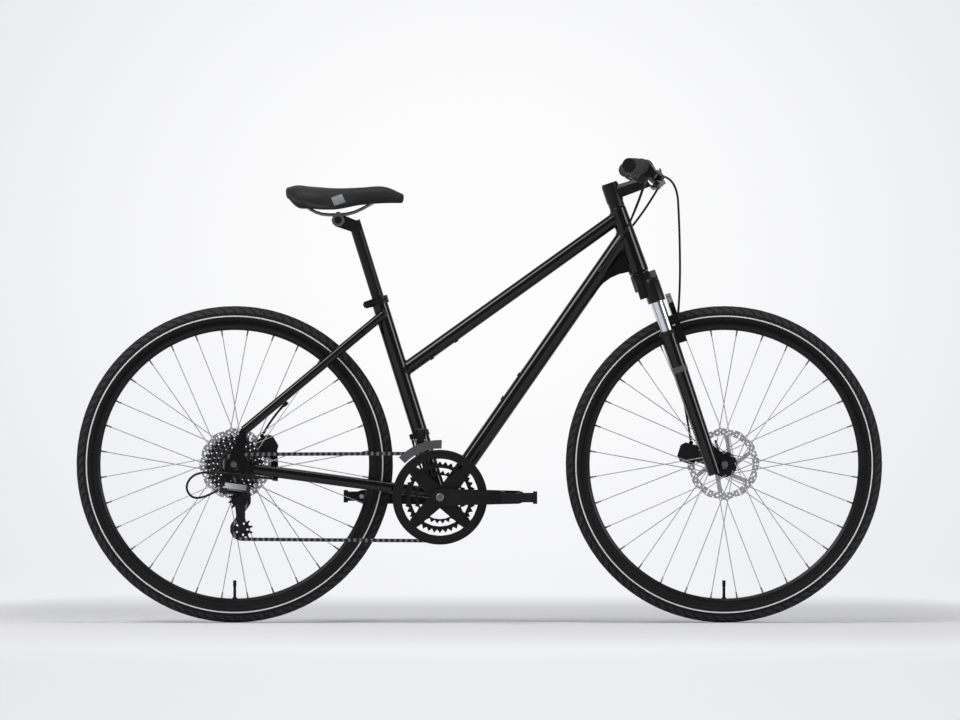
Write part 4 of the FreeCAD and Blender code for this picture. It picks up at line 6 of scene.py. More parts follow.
import bmesh
import bpy
import numpy as np
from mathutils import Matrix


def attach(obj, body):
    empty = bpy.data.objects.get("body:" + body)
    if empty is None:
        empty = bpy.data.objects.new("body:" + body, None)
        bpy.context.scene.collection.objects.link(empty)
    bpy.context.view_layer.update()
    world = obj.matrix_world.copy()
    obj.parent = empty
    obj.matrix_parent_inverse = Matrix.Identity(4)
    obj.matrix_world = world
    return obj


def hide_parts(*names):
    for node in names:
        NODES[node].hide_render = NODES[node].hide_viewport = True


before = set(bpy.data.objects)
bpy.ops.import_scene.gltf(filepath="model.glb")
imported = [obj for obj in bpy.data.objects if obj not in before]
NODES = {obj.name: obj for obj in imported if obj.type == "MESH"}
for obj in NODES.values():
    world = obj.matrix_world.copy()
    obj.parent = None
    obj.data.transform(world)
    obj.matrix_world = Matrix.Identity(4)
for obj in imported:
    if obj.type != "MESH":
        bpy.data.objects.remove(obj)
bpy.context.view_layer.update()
TURN = 2 * math.pi

bl_info = {
    "name": "Hybrid Bike Looks",
    "version": (1, 0, 0),
    "blender": (4, 5, 0),
    "location": "View3D > Sidebar > Bike",
    "description": "Builds the visible surfaces and finishes of a hybrid bike round its CAD frame",
    "category": "Object",
}


def spot(x, y, z):
    """A point given in millimetres, in metres."""
    return np.array((x, y, z), float) / 1000


ACROSS = np.array((0.0, 1.0, 0.0))
UP = np.array((0.0, 0.0, 1.0))
FRONT_AXLE = spot(544.25, 0, 352)
REAR_AXLE = spot(-544.25, 0, 352)
BRACKET = spot(-87.5, 0, 279.5)
TENSION_AXLE = spot(-527.5, 0, 208.7)
HEAD_LOW = spot(354.51, 0, 781.94)
HEAD_TILT = math.radians(18.6)
STEER_UP = np.array((-math.sin(HEAD_TILT), 0, math.cos(HEAD_TILT)))
STEER_FRONT = np.array((math.cos(HEAD_TILT), 0, math.sin(HEAD_TILT)))
SEAT_TILT = math.radians(17.3)
SEAT_UP = np.array((-math.sin(SEAT_TILT), 0, math.cos(SEAT_TILT)))
BAR = spot(390.44, 0, 987.11)
SADDLE_CLAMP = spot(-313.79, 0, 895.05)
BAR_CORNERS = [spot(329.44, -310, 1012.1), spot(375.2, -108, 1012.1), spot(390.4, -42, 987.1),
               spot(390.4, 42, 987.1), spot(375.2, 108, 1012.1), spot(329.44, 310, 1012.1)]
CHAIN_PITCH = 0.0127
SPOKES = 32
# Half of the tyre's width, the radius of its casing's middle, and the slanting grooves of its tread.
TYRE_HALF, TYRE_MIDDLE = 0.0208, 0.3312
TREAD_CUTS, TREAD_SLANT = 96, 9.0
# Radii of the frame's tubes, and the thickness of the painted skin over them.
SEAT_TUBE, TOP_TUBE, DOWN_TUBE, SHELL, SEAT_STAY, CHAIN_STAY = 0.01735, 0.0151, 0.0187, 0.0205, 0.0098, 0.0075
PAINT_SKIN = 0.0002
# The fork's legs from the head tube's lower end: ahead of the steering axis, to the side and up it.
LEG_AHEAD, LEG_SIDE, LEG_TOP, LEG_END = 0.0167, 0.059, -0.1475, -0.4725
GRIP_LENGTH = 0.128
CORD_RADIUS = 0.0025


def colour_setting(name, description, default):
    """A colour that a user may change."""
    return bpy.props.FloatVectorProperty(
        name=name, description=description, subtype="COLOR", size=3, default=default, min=0, max=1)


def length_setting(name, description, default, low, high):
    """A length in metres that a user may change."""
    return bpy.props.FloatProperty(
        name=name, description=description, subtype="DISTANCE", default=default, min=low, max=high)


class BikeColours(bpy.types.PropertyGroup):
    """Colours of the finishes."""

    paint: colour_setting("Frame paint", "Gloss colour of the frame and fork", (0.003, 0.003, 0.0034))
    alloy: colour_setting("Black alloy", "Satin colour of rims, cranks and stem", (0.005, 0.005, 0.0054))
    rubber: colour_setting("Rubber", "Colour of tyres and grips", (0.008, 0.008, 0.0085))
    steel: colour_setting("Steel", "Colour of bare steel", (0.62, 0.62, 0.64))
    cover: colour_setting("Saddle cover", "Colour of the saddle's cover", (0.015, 0.015, 0.016))
    panel: colour_setting("Saddle panel", "Colour of the pale panel on its side", (0.27, 0.275, 0.285))
    stripe: colour_setting("Tyre stripe", "Colour of the stripe round each tyre wall", (0.8, 0.8, 0.8))
    floor: colour_setting("Floor", "Colour of the floor round the bike", (0.8, 0.8, 0.82))
    # The backdrop tone is the middle of a painted pool of light; the next tone is painted shade at its
    # corners and on the floor ahead.
    backdrop: colour_setting("Backdrop", "Tone of the backdrop behind the bike", (0.98, 0.98, 0.985))
    backdrop_painted_shade: colour_setting(
        "Backdrop edge", "Tone of the backdrop's corners and of the floor ahead", (0.8, 0.805, 0.84))


class BikeSizes(bpy.types.PropertyGroup):
    """Sizes of the visible detail."""

    tread: length_setting("Tread depth", "Depth of the grooves between the tread blocks", 0.0018, 0, 0.004)
    stripe_radius: length_setting(
        "Stripe radius", "Middle radius of the stripe on the tyre wall", 0.3295, 0.32, 0.34)
    stripe_width: length_setting("Stripe width", "Width of the stripe on the tyre wall", 0.0027, 0, 0.01)
    spoke: length_setting("Spoke thickness", "Diameter of a spoke", 0.002, 0.001, 0.004)
    lens: bpy.props.FloatProperty(
        name="Lens", description="Focal length of the camera in millimetres", default=421.3, min=20, max=900)


def colours():
    """The scene's colour settings."""
    return bpy.context.scene.bike_colours


def sizes():
    """The scene's size settings."""
    return bpy.context.scene.bike_sizes


class Wire:
    """A shader socket that takes part in Python sums; each sum adds a Math node."""

    def __init__(self, finish, socket):
        self.finish = finish
        self.socket = socket

    def _sum(self, operation, first, second):
        return self.finish.node("ShaderNodeMath", {"operation": operation}, {0: first, 1: second})

    def __add__(self, other):
        return self._sum("ADD", self, other)

    def __radd__(self, other):
        return self._sum("ADD", other, self)

    def __sub__(self, other):
        return self._sum("SUBTRACT", self, other)

    def __rsub__(self, other):
        return self._sum("SUBTRACT", other, self)

    def __mul__(self, other):
        return self._sum("MULTIPLY", self, other)

    def __rmul__(self, other):
        return self._sum("MULTIPLY", other, self)

    def __truediv__(self, other):
        return self._sum("DIVIDE", self, other)

    def __pow__(self, other):
        return self._sum("POWER", self, other)

    def __gt__(self, other):
        return self._sum("GREATER_THAN", self, other)

    def __lt__(self, other):
        return self._sum("LESS_THAN", self, other)

    def __abs__(self):
        return self.finish.value("ABSOLUTE", self)


class Finish:
    """A material built from nodes round one Principled shader."""

    def __init__(self, name):
        self.material = bpy.data.materials.new(name)
        self.material.use_nodes = True
        self.tree = self.material.node_tree
        self.shader = self.tree.nodes["Principled BSDF"]

    def node(self, kind, settings=None, inputs=None, output=0):
        """Adds a node with its settings and its inputs' values or wires, and returns one output's wire."""
        made = self.tree.nodes.new(kind)
        for key, value in (settings or {}).items():
            setattr(made, key, value)
        self.fill(made, inputs or {})
        return Wire(self, made.outputs[output])

    def value(self, operation, first):
        """A Math node on one value, such as its sine."""
        return self.node("ShaderNodeMath", {"operation": operation}, {0: first})

    def fill(self, made, inputs):
        """Sets or links the inputs of a node."""
        for key, value in inputs.items():
            if isinstance(value, Wire):
                self.tree.links.new(value.socket, made.inputs[key])
            else:
                made.inputs[key].default_value = value

    def place(self):
        """The surface's own coordinates, in metres."""
        return self.node("ShaderNodeTexCoord", output="Object")

    def noise(self, scale, detail=3.0, vector=None):
        """Smooth noise from 0 to 1 at a scale per metre."""
        inputs = {"Scale": scale, "Detail": detail, "Vector": vector or self.place()}
        return self.node("ShaderNodeTexNoise", None, inputs, "Fac")

    def axes(self):
        """The x, y and z of the surface's own place."""
        split = self.tree.nodes.new("ShaderNodeSeparateXYZ")
        self.fill(split, {0: self.place()})
        return [Wire(self, out) for out in split.outputs]

    def around(self, centre):
        """Distance from an axle that runs across the bike, and the angle round it."""
        x, _, z = self.axes()
        x, z = x - float(centre[0]), z - float(centre[2])
        return (x * x + z * z) ** 0.5, self.node("ShaderNodeMath", {"operation": "ARCTAN2"}, {0: z, 1: x})

    def mix(self, share, first, second):
        """A colour between two, by a share."""
        inputs = {"Factor": share}
        for key, colour in ((6, first), (7, second)):
            inputs[key] = colour if isinstance(colour, Wire) else (*colour, 1.0)
        return self.node("ShaderNodeMix", {"data_type": "RGBA"}, inputs, 2)

    def ramp(self, value, low, high):
        """A smooth rise from 0 to 1 between two values."""
        settings = {"interpolation_type": "SMOOTHSTEP"}
        return self.node("ShaderNodeMapRange", settings, {"Value": value, "From Min": low, "From Max": high})

    def holes(self, radius, angle, middle, count, shift, reach):
        """1 inside a ring of round holes about an axle, from the holes' circle, count, turn and reach."""
        away = (radius - middle) / reach
        edge = 0.7
        return self.value("COSINE", angle * count + shift) - away * away > edge

    def bump(self, height, depth, strength):
        """A normal from a height of 0 to 1 over a depth in metres."""
        inputs = {"Height": height, "Distance": depth, "Strength": strength}
        return self.node("ShaderNodeBump", None, inputs, "Normal")

    def set(self, **values):
        """Fills the shader's inputs; underscores in a name stand for spaces."""
        for key, value in values.items():
            self.fill(self.shader, {key.replace("_", " "): value})
        return self.material


FINISHES = {}


def finish(name):
    """One finish by its name, made the first time that it is asked for."""
    if name not in FINISHES:
        FINISHES[name] = MAKERS[name](Finish(name))
    return FINISHES[name]


def tinted(base, times, plus=0.0):
    """A colour whose parts are multiplied by a factor, with a small amount added."""
    return tuple(part * times + plus for part in base)


def gloss_paint(f):
    """Deep gloss paint: fine metal flake under a clear coat with faint orange peel."""
    base = colours().paint
    flake, cloud, peel = f.noise(2600.0, 1.0), f.noise(9.0, 4.0), f.noise(420.0, 2.0)
    return f.set(Base_Color=f.mix(flake, tinted(base, 0.8), tinted(base, 1.5, 0.001)),
                 Roughness=0.22 + 0.1 * cloud, Coat_Weight=0.6, Coat_Roughness=0.04, Specular_IOR_Level=0.05,
                 Normal=f.bump(peel, depth=0.00002, strength=0.25))


def satin(f, base, rough=0.38, grain=1800.0, depth=0.00002):
    """Anodised or moulded satin surface: even grain, faint smudges."""
    smudge = f.noise(26.0, 5.0)
    return f.set(Base_Color=f.mix(smudge, tinted(base, 0.75), tinted(base, 1.3, 0.001)),
                 Roughness=rough - 0.06 + 0.12 * smudge, Specular_IOR_Level=0.28,
                 Normal=f.bump(f.noise(grain, 2.0), depth, strength=0.35))


def black_alloy(f):
    """Satin black anodised alloy."""
    return satin(f, colours().alloy)


def black_plastic(f):
    """Moulded black plastic with a fine grain."""
    return satin(f, (0.007, 0.007, 0.0075), rough=0.46, grain=1200.0, depth=0.00006)


def drilled_plastic(f):
    """Black plastic of the tension pulley and its cage, bored with a ring of holes about the axle."""
    black_plastic(f)
    holes = f.holes(*f.around(TENSION_AXLE), middle=0.0128, count=5.0, shift=0.4, reach=0.0048)
    return f.set(Alpha=1.0 - holes)


def guard_plastic(f):
    """Smoother black plastic of the chain guard."""
    return satin(f, (0.006, 0.006, 0.0064), rough=0.3, grain=700.0, depth=0.00003)


def grey_band(f):
    """Dull grey band on the fork's leg."""
    return satin(f, (0.09, 0.09, 0.095), rough=0.4)


def cord_jacket(f):
    """Smooth black jacket of hoses and housings."""
    return satin(f, (0.004, 0.004, 0.004), rough=0.32, grain=900.0, depth=0.00001)


def cog_steel(f):
    """Dark plated steel of the cassette, bored with rings of lightening holes, with pale rings by radius as
    painted highlights on the cogs' steps.
    """
    radius, angle = f.around(REAR_AXLE)
    holes = 0.0
    for middle, count, shift in ((0.0565, 28.0, 0.0), (0.047, 24.0, 1.3), (0.0375, 18.0, 0.6)):
        holes = f.holes(radius, angle, middle, count, shift, reach=0.003) + holes
    # Painted highlights: pale rings by radius stand for light on the steps between the cogs.
    step_highlight_wave = 640.0
    steps = f.value("SINE", radius * step_highlight_wave)
    wear = f.noise(60.0, 4.0)
    dark = f.mix(wear, (0.012, 0.012, 0.0125), (0.03, 0.03, 0.031))
    return f.set(Base_Color=f.mix(0.5 + 0.5 * steps, dark, (0.09, 0.09, 0.093)), Roughness=0.34 + 0.14 * wear,
                 Metallic=1.0, Alpha=1.0 - holes)


def chain_steel(f):
    """Oiled chain with painted highlights: bright at the pins and darker between them, along the straight
    runs.
    """
    # Painted highlight: a pale bead at every pin, one chain pitch apart.
    beads = f.value("SINE", f.axes()[0] * (TURN / CHAIN_PITCH))
    colour = f.mix((0.5 + 0.5 * beads) ** 2.0, (0.035, 0.035, 0.036), (0.3, 0.3, 0.305))
    return f.set(Base_Color=colour, Roughness=0.34 + 0.16 * f.noise(80.0, 3.0), Metallic=1.0)


def brushed(f, base, rough):
    """Metal with fine lines along x and slight spots of wear."""
    along, beside = 30.0, 900.0
    lines = f.node("ShaderNodeMapping", None, {"Vector": f.place(), "Scale": (along, beside, beside)})
    grain = f.noise(1.0, 4.0, lines)
    colour = f.mix(f.noise(60.0, 4.0), tinted(base, 0.72), tinted(base, 1.12))
    return f.set(Base_Color=colour, Roughness=rough - 0.1 + 0.2 * grain, Metallic=1.0,
                 Normal=f.bump(grain, depth=0.00001, strength=0.3))


def steel(f):
    """Bare steel of the crank's and the pedals' axles."""
    return brushed(f, colours().steel, rough=0.32)


def dark_steel(f):
    """Oiled steel of axles, nipples and saddle rails."""
    return brushed(f, (0.2, 0.2, 0.205), rough=0.38)


def cage_steel(f):
    """Dull stamped steel of the front derailleur's cage."""
    return brushed(f, (0.17, 0.17, 0.175), rough=0.46)


def bare_alloy(f):
    """Bare alloy of the rear derailleur's outer link and the crank bolts."""
    return brushed(f, (0.24, 0.243, 0.25), rough=0.48)


def spoke_steel(f):
    """Bright drawn steel of the spokes."""
    wear = f.noise(40.0, 3.0)
    colour = f.mix(wear, (0.4, 0.4, 0.41), (0.52, 0.52, 0.53))
    return f.set(Base_Color=colour, Roughness=0.4 + 0.1 * wear, Metallic=0.55)


def chromed(f):
    """Hard chrome with a faint ground grain."""
    fine = f.noise(1500.0, 2.0)
    return f.set(Base_Color=f.mix(f.noise(14.0), (0.6, 0.61, 0.64), (0.78, 0.79, 0.81)), Metallic=1.0,
                 Roughness=0.06 + 0.08 * fine, Normal=f.bump(fine, depth=0.000004, strength=0.2))


def tyre_rubber(f, axle):
    """Rubber with painted light on the tread blocks, and a pale stripe round the wall."""
    radius, angle = f.around(axle)
    middle, half = sizes().stripe_radius, sizes().stripe_width / 2
    stripe = (radius > middle - half) * (radius < middle + half)
    dust = f.noise(90.0, 5.0)
    base = colours().rubber
    dark = f.mix(dust, tinted(base, 0.8), tinted(base, 1.6, 0.003))
    # Painted light: tread blocks are greyer than the slanting grooves between them, which stay dark as
    # painted shade; the light is mottled by dust.
    wide = abs(f.axes()[1]) / TYRE_HALF
    slant = f.value("SINE", angle * TREAD_CUTS + wide * TREAD_SLANT)
    tread_edge, ring_wave = 0.3375, 5200.0
    blocks = (radius > tread_edge) * (slant < 0.55)
    dark = f.mix(blocks * (0.4 + 0.6 * dust), dark, (0.04, 0.04, 0.042))
    height = 0.5 + 0.2 * f.value("SINE", radius * ring_wave) + 0.4 * f.noise(900.0, 3.0)
    return f.set(Base_Color=f.mix(stripe, dark, colours().stripe), Specular_IOR_Level=0.16,
                 Roughness=0.62 + 0.16 * dust - 0.2 * stripe,
                 Normal=f.bump(height, depth=0.00012, strength=0.4))


def rotor_steel(f, axle):
    """Steel disc: ground in rings, with a polished braking band that is bored with three rings of holes."""
    radius, angle = f.around(axle)
    rings = f.noise(1.0, 3.0, f.node("ShaderNodeCombineXYZ", None, {0: radius * 2600.0, 1: angle * 3.0}))
    band_edge = 0.063
    holes = 0.0
    for middle, shift in ((0.0668, 0.0), (0.0716, math.pi), (0.0764, 0.0)):
        holes = f.holes(radius, angle, middle, 30.0, shift, reach=0.0034) + holes
    return f.set(Base_Color=f.mix(rings, (0.5, 0.5, 0.51), (0.68, 0.68, 0.69)), Metallic=0.8,
                 Roughness=0.42 - 0.1 * (radius > band_edge) + 0.12 * rings, Alpha=1.0 - holes,
                 Normal=f.bump(rings, depth=0.00002, strength=0.35))


def grip_rubber(f):
    """Soft grey rubber with a faint waffle of small raised squares, and a darker plug in the bar's end."""
    x, y, z = f.axes()
    waffle_across, waffle_round = 1450.0, 1250.0
    height = 0.5 + 0.5 * f.value("SINE", y * waffle_across) * f.value("SINE", (x + z) * waffle_round)
    dust = f.noise(120.0, 4.0)
    base = colours().rubber
    grey = f.mix(dust, tinted(base, 1.5, 0.022), tinted(base, 1.7, 0.03))
    # How far a point lies inward from the end of the bar, the same on both sides.
    end, inward = BAR_CORNERS[0], unit(BAR_CORNERS[1] - BAR_CORNERS[0])
    along = (x - end[0]) * inward[0] - (abs(y) + end[1]) * inward[1]
    plug_edge = -0.0014, -0.0008
    return f.set(Base_Color=f.mix(f.ramp(along, *plug_edge), base, grey), Roughness=0.68 + 0.12 * dust,
                 Specular_IOR_Level=0.2, Normal=f.bump(height, depth=0.0003, strength=0.2))


def saddle_cover(f):
    """Grained cover of the saddle, with a pale panel low on each side."""
    x, y, z = f.axes()
    settings, inputs = {"feature": "SMOOTH_F1"}, {"Scale": 700.0, "Vector": f.place()}
    cells = f.node("ShaderNodeTexVoronoi", settings, inputs, "Distance")
    soft = f.noise(18.0, 4.0)
    base = colours().cover
    colour = f.mix(soft, tinted(base, 0.75), tinted(base, 1.5, 0.003))
    # The panel is a slanting four-sided field on the cover's sides.
    slant, level, side_edge = x + 0.45 * z, z - 0.35 * x, 0.03
    inside = (slant > 0.0955) * (slant < 0.1235) * (level > 1.0385) * (level < 1.0595)
    colour = f.mix(inside * (abs(y) > side_edge), colour, colours().panel)
    return f.set(Base_Color=colour, Roughness=0.5 + 0.16 * soft, Sheen_Weight=0.02, Specular_IOR_Level=0.2,
                 Normal=f.bump(cells, depth=0.0003, strength=0.4))


MAKERS = {maker.__name__: maker for maker in (
    gloss_paint, black_alloy, black_plastic, drilled_plastic, guard_plastic, grey_band, cord_jacket,
    cog_steel, chain_steel, steel, dark_steel, cage_steel, bare_alloy, spoke_steel, chromed, grip_rubber,
    saddle_cover)}
MAKERS["front_rubber"] = partial(tyre_rubber, axle=FRONT_AXLE)
MAKERS["rear_rubber"] = partial(tyre_rubber, axle=REAR_AXLE)
MAKERS["front_disc"] = partial(rotor_steel, axle=FRONT_AXLE)
MAKERS["rear_disc"] = partial(rotor_steel, axle=REAR_AXLE)


class Skin:
    """Grids of points joined into one mesh."""

    def __init__(self):
        self.points = []
        self.faces = []
        self.count = 0

    def grid(self, points, round_rows=False, round_columns=False):
        """Adds a (rows, columns, 3) grid as quads; a round way joins its last line to its first."""
        rows, columns = points.shape[:2]
        row = np.arange(rows if round_rows else rows - 1)[:, None]
        column = np.arange(columns if round_columns else columns - 1)[None, :]
        after_row, after_column = (row + 1) % rows, (column + 1) % columns
        quads = np.stack([row * columns + column, row * columns + after_column,
                          after_row * columns + after_column, after_row * columns + column], -1)
        self.points.append(points.reshape(-1, 3))
        self.faces.append(quads.reshape(-1, 4) + self.count)
        self.count += rows * columns
        return self

    def turned(self, profile, base, axis, steps):
        """Adds a turned surface: each (along, radius) pair of the profile goes round the axis."""
        profile = np.asarray(profile, float)
        axis = unit(np.asarray(axis, float))
        first, second = square_to(axis)
        angle = np.arange(steps) * TURN / steps
        out = ring_of(angle, first, second)
        grid = np.asarray(base) + profile[None, :, :1] * axis + profile[None, :, 1:2] * out[:, None, :]
        return self.grid(grid, round_rows=True)

    def swept(self, path, radius, sides, reference, tall=0.0):
        """Adds a tube: a circle carried along a path, or two half circles a tall distance off its middle."""
        path = np.asarray(path, float)
        way = unit(np.gradient(path, axis=0))
        first = unit(np.cross(way, reference))
        second = np.cross(first, way)
        angle = np.arange(sides) * TURN / sides
        ring = ring_of(angle, first[:, None], second[:, None])
        apart = tall * np.sign(np.round(np.sin(angle), 9))[None, :, None] * second[:, None]
        body = path[:, None] + radius * ring + apart
        ends = [np.broadcast_to(path[end], (1, sides, 3)) for end in (0, -1)]
        return self.grid(np.concatenate([ends[0], body, ends[1]]), round_columns=True)

    def make(self, name, body, look, slot, replaces=(), angle=40):
        """Writes the mesh: doubles merged, normals outward, edges over the angle sharp, riding on a body."""
        mesh = bpy.data.meshes.new(name)
        mesh.from_pydata(np.concatenate(self.points), [], np.concatenate(self.faces).tolist())
        work = bmesh.new()
        work.from_mesh(mesh)
        bmesh.ops.remove_doubles(work, verts=work.verts, dist=1e-6)
        bmesh.ops.dissolve_degenerate(work, edges=work.edges, dist=1e-7)
        bmesh.ops.recalc_face_normals(work, faces=work.faces)
        work.to_mesh(mesh)
        work.free()
        mesh.shade_smooth()
        mesh.set_sharp_from_angle(angle=math.radians(angle))
        piece = placed(name, mesh)
        piece.data.materials.append(finish(look))
        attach(piece, body)
        if replaces:
            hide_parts(*replaces)
        return piece


def placed(name, data):
    """A new object in the scene that holds a mesh, a curve, a lamp or a camera."""
    thing = bpy.data.objects.new(name, data)
    bpy.context.scene.collection.objects.link(thing)
    return thing


def unit(vector):
    """The same direction, or directions, with length one."""
    return vector / np.linalg.norm(vector, axis=-1, keepdims=True)


def square_to(axis):
    """Two unit directions square to an axis and to each other."""
    first = unit(np.cross(axis, UP if abs(axis[1]) > abs(axis[2]) else ACROSS))
    return first, np.cross(axis, first)


def ring_of(angle, first, second):
    """Points of a unit circle: the cosine of each angle along one direction and its sine along another."""
    return np.cos(angle)[:, None] * first + np.sin(angle)[:, None] * second


def about(axle, radius, angle, side):
    """Points at a radius and an angle round an axle, set to the side."""
    x, z = axle[0] + radius * np.cos(angle), axle[2] + radius * np.sin(angle)
    return np.stack(np.broadcast_arrays(x, side, z), -1)


def bent(points, count):
    """A smooth line whose control points are given: a quadratic spline from the first to the last."""
    curve = bpy.data.curves.new("line", "CURVE")
    curve.dimensions = "3D"
    spline = curve.splines.new("NURBS")
    spline.points.add(len(points) - 1)
    spline.points.foreach_set("co", np.c_[np.asarray(points), np.ones(len(points))].ravel())
    spline.order_u = 3
    spline.use_endpoint_u = True
    spline.resolution_u = max(2, count // max(1, len(points) - 1))
    holder = placed("line", curve)
    mesh = bpy.data.meshes.new_from_object(holder.evaluated_get(bpy.context.evaluated_depsgraph_get()))
    line = np.zeros(len(mesh.vertices) * 3)
    mesh.vertices.foreach_get("co", line)
    bpy.data.objects.remove(holder)
    bpy.data.curves.remove(curve)
    bpy.data.meshes.remove(mesh)
    return line.reshape(-1, 3)


def tyre_skin(axle):
    """Tyre surface: a round section carried round the axle, its tread cut by slanting and long grooves."""
    count = 768
    turn = np.arange(count)[:, None] * TURN / count
    # Section from one bead over the tread to the other: an oval from -118 to 118 degrees.
    lean = np.radians(np.linspace(-118, 118, 59))
    across = TYRE_HALF * np.sin(lean) * (1 - 0.05 * np.cos(lean))
    out = TYRE_MIDDLE + TYRE_HALF * np.cos(lean)
    # Below the casing each wall draws in to its bead on the rim's edge.
    bead, bead_out = np.array((0.0105, 0.0119, 0.0145, 0.0172)), np.array((0.3145, 0.3172, 0.3187, 0.3201))
    across = np.concatenate([-bead, across, bead[::-1]])[None, :]
    out = np.concatenate([bead_out, out, bead_out[::-1]])[None, :]
    # Grooves: a slanting pattern on the shoulders, two long grooves and short cuts near the middle.
    wide = np.abs(across) / TYRE_HALF
    slant = np.sin(turn * TREAD_CUTS + np.sign(across) * wide * TREAD_SLANT)
    middle_edge, first_groove, second_groove, shoulder_edge = 0.24, 0.30, 0.62, 0.86
    cross_cut = (slant > 0.62) & (wide > first_groove) & (wide < shoulder_edge)
    long_cut = (np.abs(wide - first_groove) < 0.05) | (np.abs(wide - second_groove) < 0.035)
    middle_cuts, middle_slant = 64, 260
    middle_cut = (np.sin(turn * middle_cuts + across * middle_slant) > 0.86) & (wide < middle_edge)
    over_tread = out > TYRE_MIDDLE + 0.3 * TYRE_HALF
    drop = np.where((cross_cut | long_cut | middle_cut) & over_tread, sizes().tread, 0.0)
    return about(axle, out - drop, turn, across)


def rim_profile():
    """The rim's closed section from the spoke bed to the tyre's edges, as (across, radius)."""
    right = [(0, 0.2985), (0.0045, 0.2986), (0.0065, 0.2992), (0.0105, 0.3035), (0.0118, 0.306),
             (0.012, 0.3085), (0.0118, 0.3155), (0.0112, 0.3168), (0.0102, 0.317), (0.0095, 0.3162),
             (0.0095, 0.312), (0, 0.312)]
    left = [(-side, radius) for side, radius in reversed(right[1:-1])]
    return np.array(right + left + right[:1])


def spoke_lines(axle, left_flange, right_flange):
    """Ends of the spokes at hub and rim: half to each flange, leaning three crosses forward or back."""
    hub_radius, rim_radius, beside_flange = 0.0245, 0.2982, 0.00262
    number = np.arange(SPOKES)
    step = TURN / SPOKES
    left = number % 2 == 1
    outer = np.where(number // 2 % 2 == 1, 1, -1)
    flange = np.where(left, left_flange, -right_flange)
    # A spoke on a flange's outer face stands off by what its slope needs to clear the flange's rim.
    flange_rim, spoke_reach = 0.01, 0.274
    slope = (np.abs(flange) + beside_flange) / spoke_reach
    beside = beside_flange + np.where(outer > 0, slope * flange_rim, 0.0)
    rim_angle = (number + 0.5) * step
    hub_angle = rim_angle + 6 * step * outer
    start = about(axle, hub_radius, hub_angle, flange + np.where(left, outer, -outer) * beside)
    return start, about(axle, rim_radius, rim_angle, 0.0)


def wheel_pieces(word, axle, left_flange, right_flange):
    """Tyre, rim, spokes and nipples of one wheel."""
    body = word + "_wheel"
    skin = Skin().grid(tyre_skin(axle), round_rows=True)
    valve_base, spoke_sides = 0.3, 8
    skin.turned([(-0.001, 0), (-0.001, 0.004), (0, 0.0052), (0.0035, 0.0052), (0.0045, 0.0033),
                 (0.028, 0.0031), (0.029, 0.0038), (0.041, 0.0038), (0.0418, 0.003), (0.0418, 0)],
                axle - UP * valve_base, UP, steps=20)
    skin.make(word + "_tyre_skin", body, word + "_rubber", "tyre_rubber", [word + "_tyre"], angle=50)
    rim = Skin().turned(rim_profile(), axle, ACROSS, steps=192)
    rim.make(word + "_rim_skin", body, "black_alloy", "black_alloy", [word + "_rim"], angle=30)
    wires, nipples = Skin(), Skin()
    for low, high in zip(*spoke_lines(axle, left_flange, right_flange)):
        side = np.sign(low[1]) * ACROSS
        length = np.linalg.norm(high - low)
        wires.swept((low, high), sizes().spoke / 2, spoke_sides, side)
        wires.turned([(-0.0022, 0), (-0.0022, 0.0014), (-0.0016, 0.0019), (-0.0012, 0.0019), (-0.0012, 0)],
                     low, side, spoke_sides)
        nipples.turned([(length - 0.0125, 0), (length - 0.0125, 0.0016), (length - 0.004, 0.0017),
                        (length - 0.0035, 0.002), (length + 0.0006, 0.002), (length + 0.0006, 0)],
                       low, high - low, spoke_sides)
    wires.make(word + "_spoke_wires", body, "spoke_steel", "dark_steel", [word + "_spokes"])
    nipples.make(word + "_nipples", body, "dark_steel", "dark_steel")


class BIKE_OT_wheels(bpy.types.Operator):
    """Tyres with tread and stripe, rims, spokes and nipples"""

    bl_idname = "bike.wheels"
    bl_label = "Wheels"

    def execute(self, context):
        wheel_pieces("front", FRONT_AXLE, left_flange=0.023, right_flange=0.034)
        wheel_pieces("rear", REAR_AXLE, left_flange=0.033, right_flange=0.020)
        return {"FINISHED"}


